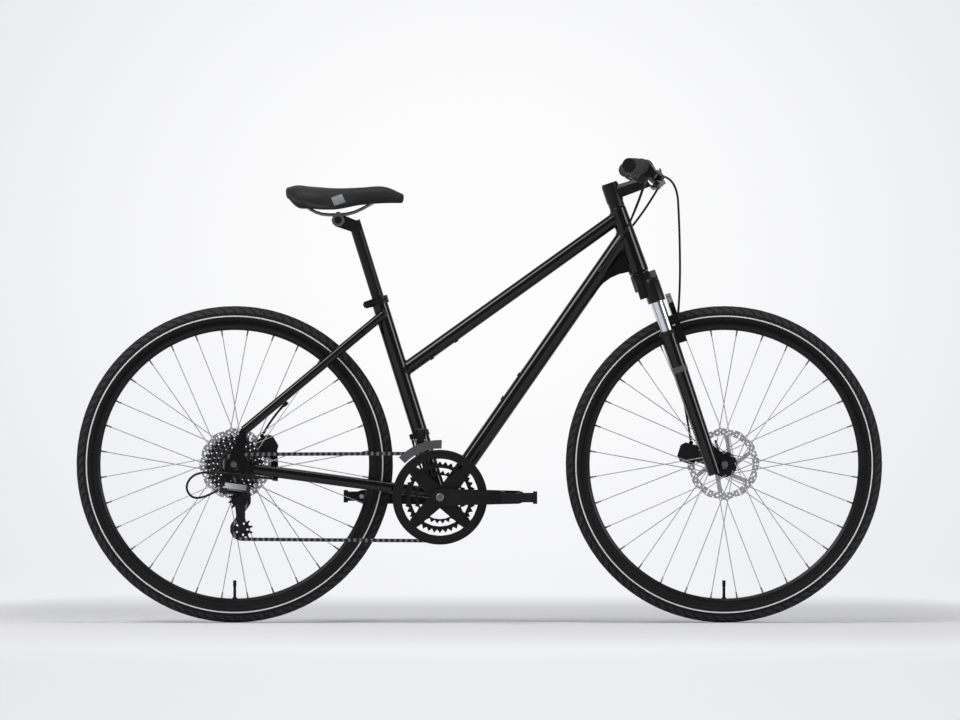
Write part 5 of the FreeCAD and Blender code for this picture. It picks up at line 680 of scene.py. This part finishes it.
def saddle_skin():
    """Saddle surface: smooth lines through the slices' widths and heights, closed over nose and tail."""
    # Slices from tail to nose in millimetres: their places, then width, height of the edge and of the crown,
    # and the base's width and height at each.
    place = np.array((-111.0, -96, -60, -10, 50, 110, 140)) / 1000
    table = np.array([
        (96, 138, 168, 130, 62, 44, 30), (60, 50, 36, 32, 44, 48, 46), (74, 78, 76, 73, 74, 73, 60),
        (70, 96, 110, 84, 40, 28, 18), (48, 32, 26, 24, 34, 38, 38)]) / 1000
    rows = np.linspace(place[0], place[-1], 90)
    width, edge, crown, base_width, base = (smooth_through(place, line, rows) for line in table)
    turn = np.linspace(0, math.pi, 41)
    # Over the top: a full half oval; below: the skirt tucks in to the flat base.
    top_across = -np.cos(turn)[None, :] * width[:, None] / 2
    rise = np.sin(turn)[None, :] ** 0.8
    dish_depth, dish_half, dish_place, dish_reach = 0.004, 0.013, -0.03, 0.07
    along_dish = np.exp(-((rows - dish_place) / dish_reach) ** 2)[:, None]
    dish = dish_depth * np.exp(-(top_across / dish_half) ** 2) * along_dish
    top_up = edge[:, None] + (crown - edge)[:, None] * rise - dish
    share = np.linspace(0, 1, 9)[1:]
    tuck = np.sin(share * math.pi / 2)
    low_right = width[:, None] / 2 * (1 - tuck) + base_width[:, None] / 2 * tuck
    low_up = edge[:, None] * (1 - share) + base[:, None] * share
    across = np.concatenate([top_across, low_right, -low_right[:, ::-1]], 1)
    up = np.concatenate([top_up, low_up, low_up[:, ::-1]], 1)
    grid = np.stack([np.broadcast_to(rows[:, None], across.shape), across, up], -1) + SADDLE_CLAMP
    # Rounded nose and tail: the last slices shrink towards their middle.
    caps, cap_reach = [], 0.006
    for end, way in ((0, -1), (-1, 1)):
        centre = grid[end].mean(0)
        for step in (0.35, 0.7, 0.9, 1.0):
            shrink = math.sqrt(max(0.0, 1 - step * step))
            caps.append(centre + (grid[end] - centre) * shrink + np.array((way * cap_reach * step, 0, 0)))
    caps = np.array(caps)
    return np.concatenate([caps[:4][::-1], grid, caps[4:]])


def smooth_through(place, value, rows):
    """A smooth line through values: cubic pieces whose slopes are the mean of the neighbours'."""
    slope = np.gradient(value, place)
    after = np.clip(np.searchsorted(place, rows), 1, len(place) - 1)
    before = after - 1
    span = place[after] - place[before]
    t = (rows - place[before]) / span
    return ((2 * t ** 3 - 3 * t ** 2 + 1) * value[before] + (t ** 3 - 2 * t ** 2 + t) * span * slope[before]
            + (3 * t ** 2 - 2 * t ** 3) * value[after] + (t ** 3 - t ** 2) * span * slope[after])


class BIKE_OT_saddle(bpy.types.Operator):
    """Padded cover of the saddle"""

    bl_idname = "bike.saddle"
    bl_label = "Saddle"

    def execute(self, context):
        skin = Skin().grid(saddle_skin(), round_columns=True)
        cover = skin.make("saddle_cover", "saddle", "saddle_cover", "saddle_cover", ["saddle"], angle=60)
        return {"FINISHED"}


def tube_skin(skin, start, end, radius, end_radius=None, steps=64):
    """Adds a straight round tube, closed at both ends; its radius may change from the start to the end."""
    length = np.linalg.norm(end - start)
    last = radius if end_radius is None else end_radius
    return skin.turned([(0, 0), (0, radius), (length, last), (length, 0)], start, end - start, steps)


def weld(skin, start, end, radius, other, other_way, other_radius, thick=0.0019):
    """Adds a rippled bead where a tube leaves another.

    Round the first tube, the way along it to the other's skin is the larger root of a quadratic; a small
    circle whose radius ripples is carried along that closed line.
    """
    way, other_way = unit(end - start), unit(other_way)
    count, sides, ripple, ripples = 240, 12, 0.16, 30
    angle = np.arange(count) * TURN / count
    ring = start + radius * ring_of(angle, *square_to(way))
    gap = ring - other
    gap = gap - (gap @ other_way)[:, None] * other_way
    slope = way - (way @ other_way) * other_way
    along, size = gap @ slope, slope @ slope
    root = np.sqrt(np.maximum(along ** 2 - size * ((gap * gap).sum(1) - other_radius ** 2), 0))
    path = ring + ((root - along) / size)[:, None] * way
    ahead = unit(np.roll(path, -1, 0) - np.roll(path, 1, 0))
    out = unit(np.cross(ahead, way))
    bead = thick * (1 + ripple * np.abs(np.sin(angle * ripples)))[:, None, None]
    circle = ring_of(np.arange(sides) * TURN / sides, out[:, None], np.cross(out, ahead)[:, None])
    return skin.grid(path[:, None] + bead * circle, round_rows=True, round_columns=True)


class BIKE_OT_frame(bpy.types.Operator):
    """Round skins on the frame's tubes and stays, and the weld beads between them"""

    bl_idname = "bike.frame"
    bl_label = "Frame"

    def execute(self, context):
        seat_length, head_start, head_length, shell_half = 0.4648, 0.0003, 0.1457, 0.0337
        seat = BRACKET, BRACKET + SEAT_UP * seat_length
        top = spot(-173.7, 0, 556.4), spot(313.0, 0, 905.15)
        down = spot(-79.5, 0, 279.5), spot(327.1, 0, 863.4)
        head = HEAD_LOW + STEER_UP * head_start, HEAD_LOW + STEER_UP * head_length
        shell = BRACKET - ACROSS * shell_half, BRACKET + ACROSS * shell_half
        head_low_radius, head_top_radius, post_clear = 0.0224, 0.0182, 0.0195
        skin, beads = Skin(), Skin()
        tube_skin(skin, *seat, SEAT_TUBE + PAINT_SKIN)
        # The top tube's skin starts at the seat tube's wall, clear of the post inside it.
        tube_skin(skin, top[0] + unit(top[1] - top[0]) * post_clear, top[1], TOP_TUBE + PAINT_SKIN)
        tube_skin(skin, *down, DOWN_TUBE + PAINT_SKIN)
        tube_skin(skin, *head, head_low_radius + PAINT_SKIN, head_top_radius + PAINT_SKIN)
        tube_skin(skin, *shell, SHELL + PAINT_SKIN)
        # The head tube's radius where the top tube and the down tube meet it.
        head_at_top, head_at_down, thin_bead = 0.0190, 0.0205, 0.0014
        weld(beads, *top, TOP_TUBE, BRACKET, SEAT_UP, SEAT_TUBE)
        weld(beads, *top[::-1], TOP_TUBE, HEAD_LOW, STEER_UP, head_at_top)
        weld(beads, *down[::-1], DOWN_TUBE, HEAD_LOW, STEER_UP, head_at_down)
        weld(beads, *down, DOWN_TUBE, BRACKET, ACROSS, SHELL)
        weld(beads, *seat, SEAT_TUBE, BRACKET, ACROSS, SHELL)
        for side in (-1, 1):
            low = spot(-87.5, 26.5 * side, 285.5), spot(-499.5, 67.9 * side, 340.9)
            skin.swept(low, CHAIN_STAY + PAINT_SKIN, sides=48, reference=UP, tall=0.004)
            high = spot(-213.9, 21.5 * side, 685.3), spot(-521.5, 69.4 * side, 428.6)
            tube_skin(skin, *high, SEAT_STAY + PAINT_SKIN, steps=48)
            weld(beads, *high, SEAT_STAY, BRACKET, SEAT_UP, SEAT_TUBE, thin_bead)
        skin.make("frame_tubes", "frame", "gloss_paint", "frame_paint")
        beads.make("frame_welds", "frame", "gloss_paint", "frame_paint", angle=60)
        return {"FINISHED"}


def leg_point(up, side):
    """A point on a leg's axis from the head tube's lower end: up the steering axis and to the left."""
    return HEAD_LOW + STEER_UP * up + STEER_FRONT * LEG_AHEAD + ACROSS * side


class BIKE_OT_fork(bpy.types.Operator):
    """Round skins and bands on the fork's legs, chromed stanchions and the wipers on top of the legs"""

    bl_idname = "bike.fork"
    bl_label = "Fork"

    def execute(self, context):
        legs, tubes, wipers, bands = Skin(), Skin(), Skin(), Skin()
        leg_low_radius, leg_top_radius = 0.0147, 0.0175
        tube_radius, tube_low, tube_top = 0.014, -0.300, -0.0405
        for side in (-LEG_SIDE, LEG_SIDE):
            top = leg_point(LEG_TOP, side)
            tube_skin(legs, leg_point(LEG_END, side), top, leg_low_radius, leg_top_radius)
            tube_skin(tubes, leg_point(tube_low, side), leg_point(tube_top, side), tube_radius)
            wipers.turned([(-0.008, 0.0186), (-0.008, 0.0198), (-0.001, 0.0198), (0, 0.019), (0.001, 0.0165),
                           (0.002, 0.0152), (0.002, 0.01405), (-0.008, 0.01405), (-0.008, 0.0186)],
                          top, STEER_UP, steps=48)
            bands.turned([(-0.095, 0.0164), (-0.095, 0.01725), (-0.082, 0.01735), (-0.082, 0.0165),
                          (-0.095, 0.0164)], top, STEER_UP, steps=48)
        legs.make("fork_legs", "fork_lower", "gloss_paint", "frame_paint")
        tubes.make("fork_tubes", "steering", "chromed", "chromed", ["fork_stanchions"])
        wipers.make("fork_wipers", "fork_lower", "black_plastic", "black_plastic")
        bands.make("fork_bands", "fork_lower", "grey_band", "frame_paint")
        return {"FINISHED"}


def rounded(corners, reach):
    """Control points of a line with rounded corners: each corner gets a neighbour at a reach either side."""
    line = [corners[0]]
    for before, corner, after in zip(corners[:-2], corners[1:-1], corners[2:]):
        line += [corner + unit(before - corner) * reach, corner, corner + unit(after - corner) * reach]
    return np.array(line + [corners[-1]])


def grip_skin(end, inward):
    """Grip surface: a tube whose radius swells in the middle, with rows of raised pads and a smooth end."""
    sides = 72
    along = np.linspace(0, GRIP_LENGTH, 161)[:, None]
    turn = np.arange(sides) * TURN / sides
    grip_radius, swell, pad_rise, groove_rise = 0.0157, 0.0006, 0.0004, 0.0001
    # Rows of pads, each half a pad on from the last, between plain bands at both ends and near the middle.
    row_wave, rows_per_metre, pads_round = 1250, 199, 18
    shift = np.floor(along * rows_per_metre) * math.pi
    pads = (np.sin(along * row_wave) > -0.3) & (np.sin(turn * pads_round + shift) > -0.35)
    plain = (along < 0.008) | (along > 0.118) | (np.abs(along - 0.05) < 0.004)
    radius = grip_radius + swell * np.sin(along / GRIP_LENGTH * math.pi)
    radius = radius + np.where(plain | pads, pad_rise, groove_rise)
    collar, collar_radius, plug_out, plug_radius, bore_radius = 0.122, 0.0172, 0.002, 0.0145, 0.0112
    radius = np.where(along > collar, collar_radius, radius)
    ring = ring_of(turn, *square_to(inward))[None]
    body = end + along[..., None] * inward + radius[..., None] * ring
    caps = [end - inward * plug_out + share * plug_radius * ring for share in (0.0, 0.6, 1.0)]
    tail = end + inward * GRIP_LENGTH + bore_radius * ring
    return np.concatenate([*caps, body, tail])


class BIKE_OT_cockpit(bpy.types.Operator):
    """Bent bar, patterned grips and the stem's bolts"""

    bl_idname = "bike.cockpit"
    bl_label = "Cockpit"

    def execute(self, context):
        bend_reach, bar_radius = 0.016, 0.0111
        line = bent(rounded(BAR_CORNERS, bend_reach), count=140)
        bar = Skin().swept(line, bar_radius, sides=40, reference=STEER_FRONT)
        bar.make("bar_tube", "steering", "black_alloy", "black_alloy", ["handlebar"])
        grips, bolts = Skin(), Skin()
        for end, bend in (BAR_CORNERS[:2], BAR_CORNERS[:-3:-1]):
            grips.grid(grip_skin(end, unit(bend - end)), round_columns=True)
        grips.make("grip_pair", "steering", "grip_rubber", "grip_rubber", ["grips"], angle=35)
        bolt_side, bolt_up, clamp_face = 0.0155, 0.0142, 0.0165
        for side in (-bolt_side, bolt_side):
            for up in (-bolt_up, bolt_up):
                face = BAR + STEER_UP * up + STEER_FRONT * clamp_face + ACROSS * side
                bolts.turned([(0, 0), (0, 0.0042), (0.0022, 0.0042), (0.003, 0.0034), (0.003, 0.002),
                              (0.0012, 0.002), (0.0012, 0)], face, STEER_FRONT, steps=24)
        bolts.make("stem_bolts", "steering", "black_alloy", "dark_steel", angle=30)
        return {"FINISHED"}


# Each cord node's body, and its cords' control points in millimetres.
CORDS = {
    "steering_cables": ("steering", [
        [(363.7, -121.9, 988.7), (373.6, -78.0, 988.7), (336.8, -32.0, 891.5), (293.1, -26.0, 814.6),
         (275.0, -22.0, 788.6)],
        [(396.9, -105.0, 996.1), (406.8, -61.1, 984.1), (390.4, 0, 953.1), (353.9, 32.0, 897.3),
         (287.7, 25.0, 818.3), (269.7, 21.0, 792.4)],
        [(363.7, 121.9, 988.7), (373.6, 78.0, 988.7), (336.8, 44.0, 891.5), (298.4, 25.0, 810.9),
         (280.3, 21.0, 784.9)]]),
    "front_brake_hose": ("steering", [
        [(397.1, 104.0, 996.1), (440.4, 80.6, 996.1), (447.2, 80.1, 876.4), (448.6, 78.4, 734.5),
         (435.4, 84.3, 598.1), (461.7, 84.3, 469.8), (471.2, 48.8, 405.7)]]),
    "frame_cables": ("frame", [
        [(-125.7, 0, 333.0), (-141.9, 0, 371.5), (-148.5, 0, 406.2)],
        [(-459.8, -63.9, 320.8), (-496.5, -81.6, 325.7), (-575.2, -86.1, 334.5), (-633.2, -86.1, 334.5),
         (-655.2, -86.1, 298.5), (-625.2, -86.1, 268.5), (-578.3, -86.1, 296.2)],
        [(-437.1, 57.5, 482.0), (-462.7, 61.5, 454.6), (-482.0, 58.4, 419.4)]]),
}


class BIKE_OT_cables(bpy.types.Operator):
    """Smooth housings and hoses along their routes, with a ferrule at each end"""

    bl_idname = "bike.cables"
    bl_label = "Cables"

    def execute(self, context):
        # A direction that no stretch of any cord runs along.
        reference = 0.36, 0.8, 0.48
        for node, (body, lines) in CORDS.items():
            skin, ends = Skin(), Skin()
            for line in lines:
                path = bent([spot(*point) for point in line], count=90)
                skin.swept(path, CORD_RADIUS, sides=20, reference=reference)
                for tip, after in ((path[0], path[1]), (path[-1], path[-2])):
                    ends.turned([(0.0003, 0), (0.0003, 0.0029), (0.0085, 0.0029), (0.0092, 0.0026),
                                 (0.0092, 0)], tip, after - tip, steps=20)
            skin.make(node + "_skin", body, "cord_jacket", "cord_jacket", [node], angle=50)
            ends.make(node + "_ferrules", body, "black_alloy", "black_alloy")
        return {"FINISHED"}


class BIKE_OT_drive(bpy.types.Operator):
    """Turned guard ring with its rolled lip, the bolts that hold it and the crank bolts"""

    bl_idname = "bike.drive"
    bl_label = "Drive"

    def execute(self, context):
        guard = Skin().turned([
            (-0.0623, 0.0853), (-0.0623, 0.1052), (-0.0652, 0.1054), (-0.0662, 0.1052), (-0.06675, 0.1046),
            (-0.06675, 0.1030), (-0.0662, 0.1018), (-0.0653, 0.1012), (-0.0653, 0.0984), (-0.0657, 0.0981),
            (-0.0657, 0.0969), (-0.0653, 0.0966), (-0.0653, 0.0905), (-0.0656, 0.0902), (-0.0656, 0.0890),
            (-0.0652, 0.0886), (-0.0652, 0.0853), (-0.0623, 0.0853)], BRACKET, ACROSS, steps=180)
        guard.make("guard_ring", "crank", "guard_plastic", "black_plastic", angle=35)
        crank_bolts, guard_bolts = Skin(), Skin()
        crank_face, guard_face, bolt_circle, guard_arms = 0.0797, 0.0648, 0.0795, 4
        for way in (-ACROSS, ACROSS):
            crank_bolts.turned([(0, 0), (0, 0.0088), (0.0018, 0.0088), (0.0028, 0.0078), (0.0034, 0.0062),
                                (0.0034, 0.0042), (0.0012, 0.0038), (0.0012, 0)],
                               BRACKET + way * crank_face, way, steps=36)
        crank_bolts.make("crank_bolts", "crank", "bare_alloy", "steel")
        arm_angle = TURN * (np.arange(guard_arms) + 0.5) / guard_arms
        for face in about(BRACKET, bolt_circle, arm_angle, -guard_face):
            guard_bolts.turned([(0, 0), (0, 0.0052), (0.001, 0.0052), (0.0018, 0.0046), (0.0018, 0.0028),
                                (0.0006, 0.0026), (0.0006, 0)], face, -ACROSS, steps=24)
        guard_bolts.make("guard_bolts", "crank", "black_alloy", "black_alloy")
        return {"FINISHED"}


# The finish of each CAD node that stays in sight.
CAD_LOOKS = {
    "gloss_paint": ["front_triangle", "rear_triangle", "fork_lowers"],
    "black_alloy": ["fork_crown", "stem", "seatpost", "seat_clamp", "headset", "rear_caliper",
                    "front_caliper", "fd_mount", "fd_link", "rd_inner_link", "crank_right", "crank_left",
                    "brake_lever_right", "brake_lever_left", "seat_qr_lever", "front_qr_lever",
                    "rear_qr_lever", "front_hub", "rear_hub", "chainrings"],
    "black_plastic": ["bar_controls", "rd_knuckle", "rd_p_knuckle", "guide_pulley", "chain_guard",
                      "pedal_right", "pedal_left", "shift_lever_right", "shift_lever_left"],
    "drilled_plastic": ["rd_cage", "tension_pulley"],
    "dark_steel": ["fork_spring", "saddle_rails", "bottom_bracket", "rear_axle", "front_axle"],
    "steel": ["crank_axles"], "chain_steel": ["chain"], "cage_steel": ["fd_cage"], "cog_steel": ["cassette"],
    "bare_alloy": ["rd_outer_link"], "front_disc": ["front_rotor"], "rear_disc": ["rear_rotor"],
}


def soft_edges():
    """A node group that merges a mesh's doubles and shades its faces smooth up to an angle."""
    group = bpy.data.node_groups.new("soft_edges", "GeometryNodeTree")
    group.interface.new_socket("Geometry", in_out="INPUT", socket_type="NodeSocketGeometry")
    group.interface.new_socket("Geometry", in_out="OUTPUT", socket_type="NodeSocketGeometry")
    nodes, links = group.nodes, group.links
    start, end = nodes.new("NodeGroupInput"), nodes.new("NodeGroupOutput")
    merge = nodes.new("GeometryNodeMergeByDistance")
    merge_reach, sharp_angle = 1e-5, math.radians(44)
    merge.inputs["Distance"].default_value = merge_reach
    every, sharp = nodes.new("GeometryNodeSetShadeSmooth"), nodes.new("GeometryNodeSetShadeSmooth")
    sharp.domain = "EDGE"
    sharp.inputs["Shade Smooth"].default_value = False
    angle, over = nodes.new("GeometryNodeInputMeshEdgeAngle"), nodes.new("FunctionNodeCompare")
    over.operation = "GREATER_THAN"
    over.inputs[1].default_value = sharp_angle
    links.new(start.outputs[0], merge.inputs["Geometry"])
    links.new(merge.outputs[0], every.inputs["Geometry"])
    links.new(every.outputs[0], sharp.inputs["Geometry"])
    links.new(angle.outputs[0], over.inputs[0])
    links.new(over.outputs[0], sharp.inputs["Selection"])
    links.new(sharp.outputs[0], end.inputs[0])
    return group


class BIKE_OT_metalwork(bpy.types.Operator):
    """Finishes and softened edges on the CAD pieces that stay in sight"""

    bl_idname = "bike.metalwork"
    bl_label = "Metalwork"

    def execute(self, context):
        group = soft_edges()
        for look, nodes in CAD_LOOKS.items():
            for node in nodes:
                piece = NODES[node]
                piece.data.materials.clear()
                piece.data.materials.append(finish(look))
                piece.modifiers.new("soft_edges", "NODES").node_group = group
        return {"FINISHED"}


# The camera looks level and square at the chain side from far off.
CAMERA_PLACE = 0.0015, -25.0, 0.584
# The floor's front end, where it starts to bend up, the bend's radius, the wall's top and half the width.
FLOOR_FRONT, FLOOR_BEND, BEND_RADIUS, WALL_TOP, FLOOR_HALF = -24.0, 6.0, 3.0, 9.0, 12.0
# The lamps' places, sizes and powers, and the height of the point that they aim at.
LAMPS = {"top": ((0.0, -0.3, 3.8), 1.8, 45.0), "left": ((-2.9, -1.9, 3.6), 2.4, 113.0),
         "right": ((3.6, -1.6, 1.75), 1.8, 48.0)}
LAMP_AIM = 0.5
# The sky's strength as light, and as the background that the camera sees.
SKY_LIGHT, SKY_SEEN = 0.18, 0.9


class BIKE_OT_stage(bpy.types.Operator):
    """Pale floor, soft studio light and the camera"""

    bl_idname = "bike.stage"
    bl_label = "Stage"

    def execute(self, context):
        floor_and_backdrop()
        lights()
        camera = bpy.data.cameras.new("camera")
        camera.lens = sizes().lens
        camera.sensor_width = 36.0
        camera.clip_end = 100.0
        holder = placed("camera", camera)
        holder.location = CAMERA_PLACE
        holder.rotation_euler = (math.pi / 2, 0, 0)
        bpy.context.scene.camera = holder
        bpy.context.scene.view_settings.view_transform = "Standard"
        return {"FINISHED"}


def floor_and_backdrop():
    """A floor that curves up behind the bike: flat, then a quarter circle, then upright."""
    turn = np.linspace(0, math.pi / 2, 24)
    wall = FLOOR_BEND + BEND_RADIUS
    y = np.concatenate([[FLOOR_FRONT, -2.0, 2.0], FLOOR_BEND + BEND_RADIUS * np.sin(turn), [wall]])
    z = np.concatenate([[0, 0, 0], BEND_RADIUS - BEND_RADIUS * np.cos(turn), [WALL_TOP]])
    x = np.linspace(-FLOOR_HALF, FLOOR_HALF, 7)
    grid = np.stack(np.broadcast_arrays(x[:, None], y[None, :], z[None, :]), -1)
    rows, columns = grid.shape[:2]
    mesh = bpy.data.meshes.new("floor")
    first = (np.arange(rows - 1)[:, None] * columns + np.arange(columns - 1)).ravel()
    faces = np.stack([first, first + columns, first + columns + 1, first + 1], -1)
    mesh.from_pydata(grid.reshape(-1, 3), [], faces.tolist())
    mesh.shade_smooth()
    floor = placed("floor", mesh)
    mesh.materials.append(backdrop_finish(Finish("floor")))


def backdrop_finish(f):
    """Matt floor round the bike that fades, for the rays that show it, into a glowing pale tone: a painted
    pool of light behind the bike, with painted shade towards its corners and the floor ahead.
    """
    base = colours().floor
    f.set(Base_Color=f.mix(f.noise(0.6), tinted(base, 0.99), base), Roughness=0.95, Specular_IOR_Level=0.0)
    x, y, z = f.axes()
    rays = f.tree.nodes.new("ShaderNodeLightPath").outputs
    seen = 0.0
    for kind in ("Camera", "Glossy", "Transmission"):
        seen = Wire(f, rays[f"Is {kind} Ray"]) + seen
    # The plain tone starts behind, ahead of and beside the bike; as a painted pool of light it is palest at a
    # middle height behind it.
    blend = f.ramp(y, 0.5, 3.2) + f.ramp(0.0 - y, 0.7, 2.4) + f.ramp(abs(x), 0.9, 1.7)
    half_wide, half_high, middle_height = 1.7, 1.5, 0.92
    wide, high = x / half_wide, (z - middle_height) / half_high
    # Painted shade: the tone darkens towards the backdrop's corners and over the floor ahead.
    edge = f.ramp((wide * wide + high * high) ** 0.5, 0.1, 1.3) + f.ramp(0.0 - y, 0.5, 4.0) * 0.35
    tone = f.mix(edge, colours().backdrop, colours().backdrop_painted_shade)
    glow = f.node("ShaderNodeEmission", None, {"Color": tone, "Strength": 1.0})
    shown = f.node("ShaderNodeMixShader", None, {0: blend * seen, 1: Wire(f, f.shader.outputs[0]), 2: glow})
    # From behind, the backdrop is clear, so that the bike can be looked at from every side.
    behind = f.node("ShaderNodeNewGeometry", output="Backfacing")
    shown = f.node("ShaderNodeMixShader", None, {0: behind, 1: shown, 2: f.node("ShaderNodeBsdfTransparent")})
    f.tree.links.new(shown.socket, f.tree.nodes["Material Output"].inputs["Surface"])
    return f.material


def lights():
    """A large soft lamp above, one at each side in front and a pale sky."""
    for name, (place, size, power) in LAMPS.items():
        lamp = bpy.data.lights.new(name, "AREA")
        lamp.shape = "DISK"
        lamp.size = size
        lamp.energy = power
        holder = placed(name, lamp)
        holder.location = place
        aim = unit(UP * LAMP_AIM - place)
        holder.rotation_euler = (math.acos(-aim[2]), 0, math.atan2(aim[1], aim[0]) - math.pi / 2)
    world = bpy.data.worlds.new("sky")
    bpy.context.scene.world = world
    world.use_nodes = True
    nodes, links = world.node_tree.nodes, world.node_tree.links
    nodes["Background"].inputs["Color"].default_value = (0.93, 0.94, 0.96, 1)
    path, strength = nodes.new("ShaderNodeLightPath"), nodes.new("ShaderNodeMath")
    strength.operation = "MULTIPLY_ADD"
    strength.inputs[1].default_value = SKY_SEEN - SKY_LIGHT
    strength.inputs[2].default_value = SKY_LIGHT
    links.new(path.outputs["Is Camera Ray"], strength.inputs[0])
    links.new(strength.outputs[0], nodes["Background"].inputs["Strength"])


OPERATORS = [BIKE_OT_frame, BIKE_OT_fork, BIKE_OT_wheels, BIKE_OT_saddle, BIKE_OT_cockpit, BIKE_OT_cables,
             BIKE_OT_drive, BIKE_OT_metalwork, BIKE_OT_stage]


class BIKE_PT_panel(bpy.types.Panel):
    """Lists the bike's operators and settings"""

    bl_label = "Hybrid Bike"
    bl_idname = "BIKE_PT_panel"
    bl_space_type = "VIEW_3D"
    bl_region_type = "UI"
    bl_category = "Bike"

    def draw(self, context):
        for operator in OPERATORS:
            self.layout.operator(operator.bl_idname)
        for group in (context.scene.bike_colours, context.scene.bike_sizes):
            for name in group.bl_rna.properties.keys():
                if name not in ("rna_type", "name"):
                    self.layout.prop(group, name)


CLASSES = [BikeColours, BikeSizes, *OPERATORS, BIKE_PT_panel]


def register():
    """Registers the classes and hangs the settings on the scene."""
    for one in CLASSES:
        bpy.utils.register_class(one)
    bpy.types.Scene.bike_colours = bpy.props.PointerProperty(type=BikeColours)
    bpy.types.Scene.bike_sizes = bpy.props.PointerProperty(type=BikeSizes)


def unregister():
    """Takes the settings and the classes away again."""
    del bpy.types.Scene.bike_sizes
    del bpy.types.Scene.bike_colours
    for one in reversed(CLASSES):
        bpy.utils.unregister_class(one)


def main():
    register()
    for operator in OPERATORS:
        group, name = operator.bl_idname.split(".")
        getattr(getattr(bpy.ops, group), name)()


if __name__ == "__main__":
    main()
